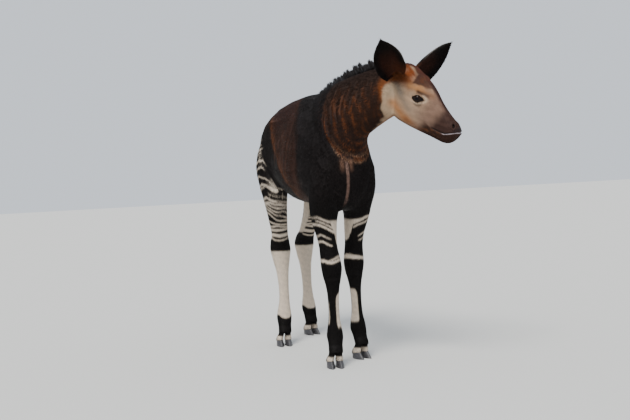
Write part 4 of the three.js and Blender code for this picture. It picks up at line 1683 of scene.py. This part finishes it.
def mark_skin(skin, before_ears):
    """Regions, unwrap, lie of the hair and colours of the skin's points, kept for the coat."""
    mesh = skin.data
    own = to_own(get_points(mesh))
    masses = body_masses()
    ear_masses = [(name, ear_rings(pose)) for name, pose in EARS.items()]
    found = {}
    for key, group, part in (
        ("body", masses, slice(0, before_ears)),
        ("ears", ear_masses, slice(before_ears, None)),
    ):
        tree, regions, unwraps, flows = masses_tree(group)
        near = np.array([tree.find(point)[1] for point in own[part].tolist()])
        found[key] = (regions[near], unwraps[near], flows[near], near)
    region = np.concatenate([found["body"][0], found["ears"][0]])
    unwrap = np.concatenate([found["body"][1], found["ears"][1]])
    flow = np.concatenate([found["body"][2], found["ears"][2]])
    column = found["ears"][3] % (2 * EAR_COLUMNS)
    cup = np.concatenate([np.zeros(before_ears), (column < EAR_COLUMNS).astype(float)])
    normals = get_normals(mesh)
    flow = relax(unit(flow), get_edges(mesh), 0.5, 30)
    flow = unit(flow - normals * (flow * normals).sum(1)[:, None])
    colour = coat_colour(own, region, cup)
    # The skin under the coat is darkened as painted shade.
    set_colours(mesh, "coat", colour * SKIN_PAINTED_SHADE)
    return {
        "own": own,
        "normals": normals,
        "region": region,
        "unwrap": unwrap,
        "flow": flow,
        "cup": cup,
        "triangles": get_triangles(mesh),
    }


# What the skin's operator leaves for the coat's operator.
SKIN_FACTS = {}

FLESH_NODES = ["head", "lower_jaw", "neck", "trunk", "ear_right", "ear_left", "tail"] + [
    f"{leg}_{part}" for leg in LEGS for part in ("upper", "lower", "foot")
]


def shade_smooth(mesh):
    """Smooth shading on every face."""
    mesh.polygons.foreach_set("use_smooth", np.ones(len(mesh.polygons), bool))
    mesh.update()


def build_skin(settings):
    """The one skin that stands for all flesh."""
    skin = join_masses(settings)
    form_skin(skin)
    thin_out(skin, settings)
    before_ears = add_ears(skin)
    shade_smooth(skin.data)
    SKIN_FACTS.update(mark_skin(skin, before_ears))
    skin.data.materials.append(shared_material("okapi_skin", skin_material))
    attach(skin, "root")
    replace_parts(skin, *FLESH_NODES)
    return skin


# The coat

def scatter(allowed, density, rng):
    """Roots spread evenly over the skin: triangle numbers and places within them. density gives the
    roots per square millimetre at each point of the skin."""
    faces = SKIN_FACTS["triangles"]
    corners = SKIN_FACTS["own"][faces]
    sides = corners[:, 1:] - corners[:, :1]
    area = np.linalg.norm(np.cross(sides[:, 0], sides[:, 1]), axis=1) / 2
    wanted = area * density[faces].mean(1) * allowed[faces[:, 0]]
    total = int(wanted.sum())
    steps = (np.arange(total) + rng.random(total)) / total
    chosen = np.searchsorted(np.cumsum(wanted) / wanted.sum(), steps)
    chosen = np.minimum(chosen, len(faces) - 1)
    a = np.sqrt(rng.random(total))
    b = rng.random(total)
    share = np.stack([1 - a, a * (1 - b), a * b], -1)
    return faces[chosen], share


def blend(values, corners, share):
    """Values at places within triangles."""
    return (values[corners] * share[..., None]).sum(1)


# Corners of the triangles of a long tuft (7 points) and of a short one (4 points).
BLADE_ROOT = [(0, 2, 1), (0, 4, 3), (0, 1, 4), (1, 5, 4), (1, 2, 5), (2, 3, 5), (2, 0, 3)]
BLADE_TIP = [(3, 4, 6), (4, 5, 6), (5, 3, 6)]
BLADE = np.array(BLADE_ROOT + BLADE_TIP)
SPIKE = np.array([(0, 2, 1), (0, 1, 3), (1, 2, 3), (2, 0, 3)])

# Their points on the unwrap, round the root's place, as shares of a patch's size, and that size.
BLADE_PATCH = ((-0.5, -0.5), (0.5, -0.5), (0, -0.45), (-0.5, 0), (0.5, 0), (0, 0.05), (0, 0.5))
SPIKE_PATCH = ((-0.5, -0.5), (0.5, -0.5), (0, -0.4), (0, 0.5))
PATCH = 0.003

# Most tufts in one piece, and how far their patches are spread at random.
TUFTS_PER_PIECE = 48000
PATCH_SPREAD = 0.002

# Painted shade and light on the coat's colour: darker on the skin under the tufts, at a tuft's root and
# on its back, and lighter at its tip. The tip's colour is read at a share of the tuft's length.
SKIN_PAINTED_SHADE = 0.85
ROOT_PAINTED_SHADE = 0.8
BACK_PAINTED_SHADE = 0.95
TIP_PAINTED_LIGHT = 1.08
TIP_SHARE = 0.75

# Painted shade on a blade's seven points: darkest at the root, lighter towards the tip.
BLADE_PAINTED_SHADING = (0.5, 0.5, 0.7, 0.95, 0.95, 1.05, 1.3)


def blades(root, along, normal, length, width, lift, thick):
    """Long tufts: closed three-sided blades of 7 points, three at the root, three at 0.45 of the
    length where they are widest, and the tip. At share s they stand lift * length * s^1.5 out."""
    across = unit(np.cross(normal, along))
    length = length[:, None]
    width = width[:, None]
    thick = thick[:, None]
    rise = lambda s: normal * (lift[:, None] * length * s**1.5)
    base = root - normal * 0.8
    middle = root + along * length * 0.45 + rise(0.45)
    return np.stack(
        [
            base - across * width * 0.4,
            base + across * width * 0.4,
            base + normal * (thick * 0.6 + 0.6),
            middle - across * width * 0.5 - normal * thick * 0.3,
            middle + across * width * 0.5 - normal * thick * 0.3,
            middle + normal * thick * 0.7,
            root + along * length + rise(1.0),
        ],
        1,
    )


def spikes(root, along, normal, length, width, lift, thick):
    """Short tufts: closed three-sided spikes of 4 points, three at the root and the tip."""
    across = unit(np.cross(normal, along))
    base = root - normal * 0.6
    return np.stack(
        [
            base - across * width[:, None] / 2,
            base + across * width[:, None] / 2,
            base + normal * (thick[:, None] + 0.6) + along * (length * 0.12)[:, None],
            root + along * length[:, None] + normal * (lift * length)[:, None],
        ],
        1,
    )


def triangles_object(name, points, triangles):
    """A mesh object from many triangles, set in whole arrays."""
    mesh = bpy.data.meshes.new(name)
    mesh.vertices.add(len(points))
    mesh.vertices.foreach_set("co", np.ascontiguousarray(points, dtype=np.float32).ravel())
    mesh.loops.add(len(triangles) * 3)
    mesh.loops.foreach_set("vertex_index", triangles.astype(np.int32).ravel())
    mesh.polygons.add(len(triangles))
    mesh.polygons.foreach_set("loop_start", np.arange(0, len(triangles) * 3, 3, dtype=np.int32))
    mesh.polygons.foreach_set("loop_total", np.full(len(triangles), 3, np.int32))
    mesh.update(calc_edges=True)
    obj = bpy.data.objects.new(name, mesh)
    bpy.context.scene.collection.objects.link(obj)
    return obj


def tuft_object(name, points, unwrap, colour):
    """One coat piece: tufts with the colours of their points and their patches on the skin's
    unwrap."""
    count, corners, _ = points.shape
    pattern, patch = (BLADE, BLADE_PATCH) if corners == 7 else (SPIKE, SPIKE_PATCH)
    triangles = (pattern[None] + corners * np.arange(count)[:, None, None]).reshape(-1, 3)
    obj = triangles_object(name, to_row(points.reshape(-1, 3)), triangles)
    set_colours(obj.data, "coat", colour.reshape(-1, 3))
    spread = (unwrap[:, None, :] + PATCH * np.array(patch)[None]).reshape(-1, 2)
    layer = obj.data.uv_layers.new(name="OFBake")
    layer.data.foreach_set("uv", spread[triangles.ravel()].astype(np.float32).ravel())
    obj.data.materials.append(shared_material("okapi_coat", coat_material))
    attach(obj, "root")
    return obj


def coat_sizes(own, region, cup):
    """Length, width, lift as a share of the length, and roots per square millimetre of the tufts at
    the skin's points: small and close on the face and feet, longer on the body."""
    names = np.array(REGIONS)[region].astype(str)
    is_head = names == "head"
    is_ear = np.char.startswith(names, "ear")
    ahead = head_frame(own)[:, 0]
    z = own[:, 2]
    haunch = smooth(own[:, 1], 120, 230) * (1 - smooth(z, 950, 1030))
    leg = np.maximum(1 - smooth(z, 560, 760), haunch)
    foot = 1 - smooth(z, 60, 200)
    muzzle = smooth(ahead, 120, 320)
    face = smooth(ahead, 10, 100) * (own[:, 1] < -430) * (is_head | (names == "neck"))
    towards = lambda body_size, face_size: body_size + (face_size - body_size) * face
    length = towards(15 - 5.5 * leg - 2.5 * foot, 9.0 - 4.8 * muzzle)
    width = towards(2.5 - 0.8 * leg - 0.2 * foot, 1.7 - 0.5 * muzzle)
    density = towards(0.075 + 0.11 * leg + 0.03 * foot, 0.22 + 0.1 * muzzle)
    length = np.where(is_ear, 8 + 5 * cup, length)
    width = np.where(is_ear, 1.8, width)
    density = np.where(is_ear, 0.16, density)
    lift = np.where(is_ear, 0.12 + 0.1 * cup, np.where(is_head, 0.1, 0.085))
    return length, width, lift, density


def bare_skin(place, region):
    """True where no hair grows: inside the eyes' openings, in the nostrils and on the lips."""
    is_head = region == REGIONS.index("head")
    forward, up, side = place.T
    line = on_line(forward, MOUTH)
    bare = (forward > 285) & (np.abs(up - line + 1.5) < 4.5)
    bare |= (forward > 340) & (up > line) & (np.abs(side) < 26)
    bare |= (nostril_oval(place, 11, 6) < 1.2) & (np.abs(side) > 5)
    for sign in (1, -1):
        ring, depth, _, _ = eye_opening(place, sign)
        bare |= (ring < 1.4) & (depth > -8)
    return bare & is_head


# Coat pieces: name, regions of the skin and slot.
COAT_PIECES = (
    ("coat_trunk", ["trunk"], "coat_body"),
    ("coat_neck", ["neck"], "coat_neck"),
    ("coat_head", ["head"], "coat_face"),
    ("coat_ears", ["ear_right", "ear_left"], "coat_ear"),
    ("coat_forelegs", ["foreleg_right", "foreleg_left"], "coat_foreleg"),
    ("coat_hindlegs", ["hindleg_right", "hindleg_left"], "coat_shank"),
    ("coat_feet", ["toes"], "coat_foot"),
    ("coat_tail", ["tail"], "coat_body"),
)


def build_coat(name, regions, settings):
    """Coat pieces over some regions of the skin."""
    facts = SKIN_FACTS
    rng = np.random.default_rng(settings.seed + REGIONS.index(regions[0]))
    allowed = np.isin(facts["region"], [REGIONS.index(r) for r in regions])
    length, width, lift, density = coat_sizes(facts["own"], facts["region"], facts["cup"])
    corners, share = scatter(allowed, density * settings.fullness, rng)
    root = blend(facts["own"], corners, share)
    normal = unit(blend(facts["normals"], corners, share))
    along = blend(facts["flow"], corners, share)
    region = facts["region"][corners[:, 0]]
    cup = facts["cup"][corners[:, 0]]
    unwrap = facts["unwrap"][corners[:, 0]] + (rng.random((len(root), 2)) - 0.5) * PATCH_SPREAD
    kept = ~bare_skin(head_frame(root), region)
    root, normal, along = root[kept], normal[kept], along[kept]
    region, cup, unwrap = region[kept], cup[kept], unwrap[kept]
    corners, share = corners[kept], share[kept]
    count = len(root)
    across = unit(np.cross(normal, along))
    along = unit(along + across * rng.normal(0, 0.16, count)[:, None])
    along = unit(along - normal * (along * normal).sum(1)[:, None])
    size = lambda v: blend(v[:, None], corners, share)[:, 0]
    length = size(length) * (0.75 + 0.5 * rng.random(count))
    width = size(width) * (0.8 + 0.4 * rng.random(count))
    lift = size(lift) * (0.6 + 0.8 * rng.random(count))
    points = spikes(root, along, normal, length, width, lift, width * 0.3)
    near = coat_colour(root, region, cup)
    tip = coat_colour(root + along * (TIP_SHARE * length)[:, None], region, cup)
    vary = 0.86 + 0.28 * rng.random(count)
    # Painted shade at the root and on the back, painted light at the tip.
    low, back = near * ROOT_PAINTED_SHADE, near * BACK_PAINTED_SHADE
    colour = np.stack([low, low, back, tip * TIP_PAINTED_LIGHT], 1) * vary[:, None, None]
    order = rng.permutation(count) if count > TUFTS_PER_PIECE else np.arange(count)
    pieces = max(1, math.ceil(count / TUFTS_PER_PIECE))
    for k, part in enumerate(np.array_split(order, pieces)):
        label = name if pieces == 1 else f"{name}_{k + 1}"
        tuft_object(label, points[part], unwrap[part], colour[part])
    return count


def shaded(colour):
    """A blade's colour at its 7 points, with painted shade towards the root."""
    return colour[:, None, :] * np.array(BLADE_PAINTED_SHADING)[None, :, None]


def build_mane(settings):
    """Upright hair along the crest in clumps, with grey tips."""
    rng = np.random.default_rng(settings.seed + 50)
    crest, _, up, side, _, _ = neck_frames(200)
    first, last = (int(len(crest) * share) for share in MANE_ENDS)
    count = MANE_HAIRS
    pick = rng.integers(0, last - first, count)
    row = rng.normal(0, 6.0, count)
    at = first + pick
    share = (pick + 0.5) / (last - first)
    back = unit(np.gradient(crest, axis=0))[at] * -1
    steps = np.linalg.norm(np.diff(crest, axis=0), axis=1)
    walk = np.concatenate([[0], np.cumsum(steps)])[at]
    clump = np.floor(walk / MANE_CLUMP).astype(int)
    clumps = clump.max() + 1
    tall = rng.uniform(0.7, 1.08, clumps)[clump]
    lean = rng.normal(0, 0.1, clumps)[clump] + rng.normal(0, 0.07, count)
    sway = rng.normal(0.28, 0.08, clumps)[clump]
    gather = (walk / MANE_CLUMP - clump - 0.5) * MANE_CLUMP
    root = crest[at] - up[at] * (9 + 0.05 * row**2)[:, None] + side[at] * row[:, None]
    along = up[at] + back * (sway + 1.0 * gather / MANE_RISE)[:, None]
    along = along + side[at] * (lean - 0.4 * row / MANE_RISE)[:, None]
    along = unit(along + rng.normal(0, 0.05, (count, 3)))
    normal = unit(np.cross(along, side[at]))
    ends = np.sin(math.pi * np.clip(share * 0.94 + 0.05, 0, 1)) ** 0.4
    length = (MANE_RISE * 0.97 + 8) * ends * tall * (0.72 + 0.3 * rng.random(count))
    width = 2.6 + 1.4 * rng.random(count)
    lift = rng.normal(0, 0.06, count)
    points = blades(root, along, normal, length, width, lift, np.full(count, 1.3))
    colour = plain(count, "mane") * (0.6 + 0.8 * rng.random(count))[:, None]
    colour[rng.random(count) < 0.16] = TINTS["mane_grey"]
    left, bottom, width, height = CELLS["neck"]
    unwrap = np.stack([left + width * (0.5 + row / 300), bottom + height * share], -1)
    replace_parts(tuft_object("mane_hair", points, unwrap, shaded(colour)), "mane")


def build_tail_tuft(settings):
    """Long hair of the tail's tuft, hanging from its lower third."""
    rng = np.random.default_rng(settings.seed + 60)
    rows = refine(TAIL, 60)
    count = TAIL_HAIRS
    first, last = (int(len(rows) * share) for share in TAIL_HAIR_ROOTS)
    start = rng.integers(first, last, count)
    centre = rows[start, :3]
    angle = rng.random(count) * TAU
    out = np.stack([np.cos(angle), np.sin(angle), np.zeros(count)], -1)
    along = unit(np.array((0.02, -0.02, -1.0)) + out * 0.12 + rng.normal(0, 0.05, (count, 3)))
    longest = np.maximum(centre[:, 2] - TAIL_HAIR_END, 16)
    length = np.minimum(30 + 50 * rng.random(count), longest)
    width = 2.4 + 1.2 * rng.random(count)
    lift, thick = np.full(count, 0.04), np.full(count, 1.2)
    points = blades(centre + out * 7, along, out, length, width, lift, thick)
    colour = plain(count, "tail_hair") * (0.6 + 0.8 * rng.random(count))[:, None]
    left, bottom, width, height = CELLS["tail"]
    unwrap = np.stack([left + width * angle / TAU, bottom + height * start / len(rows)], -1)
    tuft_object("tail_hair", points, unwrap, shaded(colour))


# Eyes and hooves

def build_eyes():
    """Two balls with a level pupil: p = c + R f (cos a sin b, sin a sin b, cos b), the pole at the
    middle of the opening, with f = 1 + k exp(-(b / r)^2) for the cornea."""
    nets, colours = [], []
    rings, count = 48, 64
    for sign in (-1, 1):
        centre, out, long_way, short_way = eye_axes(sign)
        b = np.linspace(0, math.pi, rings + 1)[1:-1, None]
        a = np.arange(count)[None] * TAU / count
        bulge = 1 + CORNEA * bell(b, 0, CORNEA_REACH)
        flat = np.stack([np.cos(a) * np.sin(b), np.sin(a) * np.sin(b), np.cos(b) + 0 * a], -1)
        flat = flat * bulge[..., None]
        axes = np.stack([long_way, short_way, out])
        net, net_faces = tube(head_point(centre + EYE_RADIUS * (flat @ axes)))
        pole = np.array((0, 0, 1 + CORNEA)), np.array((0, 0, -1.0))
        net[-2] = head_point(centre + EYE_RADIUS * (pole[0] @ axes))
        net[-1] = head_point(centre + EYE_RADIUS * (pole[1] @ axes))
        local = np.concatenate([flat.reshape(-1, 3), pole[0][None], pole[1][None]])
        x, y = local[:, 0] * EYE_RADIUS, local[:, 1] * EYE_RADIUS
        front = local[:, 2] > 0
        oval = np.hypot(x / PUPIL_HALVES[0], y / PUPIL_HALVES[1])
        pupil = (1 - smooth(oval, 0.85, 1.1)) * front
        iris = (1 - smooth(np.hypot(x, y), 12.0, 13.5)) * front
        colour = plain(len(local), "eyeball")
        colour = paint(colour, iris, "iris")
        colour = paint(colour, pupil, "pupil")
        colours.append(colour)
        nets.append((to_row(net), net_faces))
    eyes = mesh_object("eyes", *join_nets(nets))
    right_side_out(eyes.data)
    shade_smooth(eyes.data)
    set_colours(eyes.data, "iris", np.concatenate(colours))
    eyes.data.materials.append(shared_material("okapi_eye", eye_material))
    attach(eyes, "root")
    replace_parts(eyes, "eye_right", "eye_left")


def build_hooves():
    """Eight claws: levels of the claw's egg from sole to coronet, with faint growth rings and a worn
    lower edge."""
    nets = []
    upper = 26
    shares = np.concatenate([[0.0, 0.0, 0.02, 0.06], np.linspace(0.1, 1, upper)])
    grows = np.concatenate([[-6.0, -1.6, -0.5, 0.0], 0.35 * np.sin(np.arange(upper) * 1.9)])
    count = POINTS_ROUND["claw"]
    for leg in LEGS.values():
        for which in (-1, 1):
            levels = [claw_ring(leg, which, s, g, count) for s, g in zip(shares, grows)]
            net, net_faces = tube(np.stack(levels))
            nets.append((to_row(net), net_faces))
    hooves = mesh_object("hooves", *join_nets(nets))
    right_side_out(hooves.data)
    shade_smooth(hooves.data)
    hooves.data.materials.append(shared_material("okapi_hoof", hoof_material))
    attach(hooves, "root")
    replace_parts(hooves, *[f"{leg}_hoof_{which}" for leg in LEGS for which in ("inner", "outer")])


# The stage

def build_camera():
    """The camera at the picture's place and turn."""
    look = np.array(
        (
            math.sin(CAMERA_YAW) * math.cos(CAMERA_PITCH),
            math.cos(CAMERA_YAW) * math.cos(CAMERA_PITCH),
            -math.sin(CAMERA_PITCH),
        )
    )
    level = np.array((math.cos(CAMERA_YAW), -math.sin(CAMERA_YAW), 0.0))
    over = np.cross(level, look)
    right = level * math.cos(CAMERA_ROLL) + over * math.sin(CAMERA_ROLL)
    up = over * math.cos(CAMERA_ROLL) - level * math.sin(CAMERA_ROLL)
    place = np.array(CAMERA_PLACE) + SHIFT
    matrix = Matrix.Identity(4)
    for column, vector in enumerate((right, up, -look, place)):
        for row in range(3):
            matrix[row][column] = float(vector[row])
    camera = bpy.data.objects.new("camera", bpy.data.cameras.new("camera"))
    camera.data.sensor_width = SENSOR_WIDTH
    camera.data.lens = CAMERA_FOCAL * SENSOR_WIDTH / PICTURE_WIDTH
    camera.data.clip_end = 100
    camera.matrix_world = matrix
    bpy.context.scene.collection.objects.link(camera)
    bpy.context.scene.camera = camera


def build_light(settings):
    """Soft daylight: a pale sky all round and a wide sun from the upper left."""
    world = bpy.data.worlds.new("sky")
    world.use_nodes = True
    sky = world.node_tree.nodes["Background"]
    sky.inputs["Color"].default_value = (0.86, 0.92, 1.0, 1)
    sky.inputs["Strength"].default_value = settings.sky
    bpy.context.scene.world = world
    lamp = bpy.data.lights.new("sun", "SUN")
    lamp.energy = settings.sun
    lamp.angle = math.radians(25)
    lamp.color = (1.0, 0.96, 0.9)
    sun = bpy.data.objects.new("sun", lamp)
    sun.rotation_mode = "QUATERNION"
    sun.rotation_quaternion = Vector((0.55, 0.55, -1.0)).to_track_quat("-Z", "Y")
    bpy.context.scene.collection.objects.link(sun)


def build_floor():
    """A plain pale floor."""
    reach = 14.0
    corners = [(-reach, -reach, 0), (reach, -reach, 0), (reach, reach, 0), (-reach, reach, 0)]
    floor = mesh_object("floor", corners, [[0, 1, 2, 3]])
    material, _, shader = new_material("floor")
    shader.inputs["Base Color"].default_value = (0.62, 0.62, 0.6, 1)
    shader.inputs["Roughness"].default_value = 0.9
    floor.data.materials.append(material)


# Add-on

class OkapiSkinSettings(bpy.types.PropertyGroup):
    """Sizes of the skin's net."""

    voxel: bpy.props.FloatProperty(
        name="Joining step",
        description="Step of the net that joins the masses",
        default=0.0034,
        unit="LENGTH",
    )
    most_triangles: bpy.props.IntProperty(
        name="Most triangles",
        description="Triangles of the finished skin without the ears",
        default=176000,
    )


class OkapiCoatSettings(bpy.types.PropertyGroup):
    """How full the coat is."""

    fullness: bpy.props.FloatProperty(
        name="Fullness",
        description="Share of the full count of tufts",
        default=1.0,
    )
    seed: bpy.props.IntProperty(
        name="Seed",
        description="Start of the spread of the tufts",
        default=7,
    )


class OkapiStageSettings(bpy.types.PropertyGroup):
    """Strength of the light."""

    sky: bpy.props.FloatProperty(name="Sky", description="Strength of the sky", default=1.0)
    sun: bpy.props.FloatProperty(name="Sun", description="Strength of the sun", default=3.6)


class OKAPI_OT_skin(bpy.types.Operator):
    """Builds the one skin that stands for all flesh"""

    bl_idname = "okapi.skin"
    bl_label = "Build skin"

    def execute(self, context):
        build_skin(context.scene.okapi_skin)
        return {"FINISHED"}


class OKAPI_OT_coat(bpy.types.Operator):
    """Lays the short coat over the skin, region by region"""

    bl_idname = "okapi.coat"
    bl_label = "Build coat"

    def execute(self, context):
        if not SKIN_FACTS:
            raise RuntimeError("the coat needs the skin: build the skin first")
        for name, regions, slot in COAT_PIECES:
            build_coat(name, regions, context.scene.okapi_coat)
        return {"FINISHED"}


class OKAPI_OT_long_hair(bpy.types.Operator):
    """Sets the mane's and the tail's long hair"""

    bl_idname = "okapi.long_hair"
    bl_label = "Build mane and tail tuft"

    def execute(self, context):
        build_mane(context.scene.okapi_coat)
        build_tail_tuft(context.scene.okapi_coat)
        return {"FINISHED"}


class OKAPI_OT_eyes(bpy.types.Operator):
    """Builds both eyes"""

    bl_idname = "okapi.eyes"
    bl_label = "Build eyes"

    def execute(self, context):
        build_eyes()
        return {"FINISHED"}


class OKAPI_OT_hooves(bpy.types.Operator):
    """Builds the eight claws"""

    bl_idname = "okapi.hooves"
    bl_label = "Build hooves"

    def execute(self, context):
        build_hooves()
        return {"FINISHED"}


class OKAPI_OT_stage(bpy.types.Operator):
    """Sets the floor, the light and the camera"""

    bl_idname = "okapi.stage"
    bl_label = "Build stage"

    def execute(self, context):
        build_floor()
        build_light(context.scene.okapi_stage)
        build_camera()
        return {"FINISHED"}


OPERATORS = (
    OKAPI_OT_skin,
    OKAPI_OT_coat,
    OKAPI_OT_long_hair,
    OKAPI_OT_eyes,
    OKAPI_OT_hooves,
    OKAPI_OT_stage,
)


class OKAPI_PT_panel(bpy.types.Panel):
    """Lists the pieces and their settings"""

    bl_label = "Okapi"
    bl_space_type = "VIEW_3D"
    bl_region_type = "UI"
    bl_category = "Okapi"

    def draw(self, context):
        scene = context.scene
        for settings, name in (
            (scene.okapi_skin, "voxel"),
            (scene.okapi_skin, "most_triangles"),
            (scene.okapi_coat, "fullness"),
            (scene.okapi_coat, "seed"),
            (scene.okapi_stage, "sky"),
            (scene.okapi_stage, "sun"),
        ):
            self.layout.prop(settings, name)
        for operator in OPERATORS:
            self.layout.operator(operator.bl_idname)


CLASSES = (OkapiSkinSettings, OkapiCoatSettings, OkapiStageSettings, *OPERATORS, OKAPI_PT_panel)


def register():
    """Registers the classes and their settings on the scene."""
    for cls in CLASSES:
        bpy.utils.register_class(cls)
    bpy.types.Scene.okapi_skin = bpy.props.PointerProperty(type=OkapiSkinSettings)
    bpy.types.Scene.okapi_coat = bpy.props.PointerProperty(type=OkapiCoatSettings)
    bpy.types.Scene.okapi_stage = bpy.props.PointerProperty(type=OkapiStageSettings)


def unregister():
    """Takes everything back that register set."""
    del bpy.types.Scene.okapi_stage
    del bpy.types.Scene.okapi_coat
    del bpy.types.Scene.okapi_skin
    for cls in reversed(CLASSES):
        bpy.utils.unregister_class(cls)


def main():
    """Builds all pieces."""
    register()
    bpy.ops.okapi.stage()
    bpy.ops.okapi.skin()
    bpy.ops.okapi.coat()
    bpy.ops.okapi.long_hair()
    bpy.ops.okapi.eyes()
    bpy.ops.okapi.hooves()


if __name__ == "__main__":
    main()
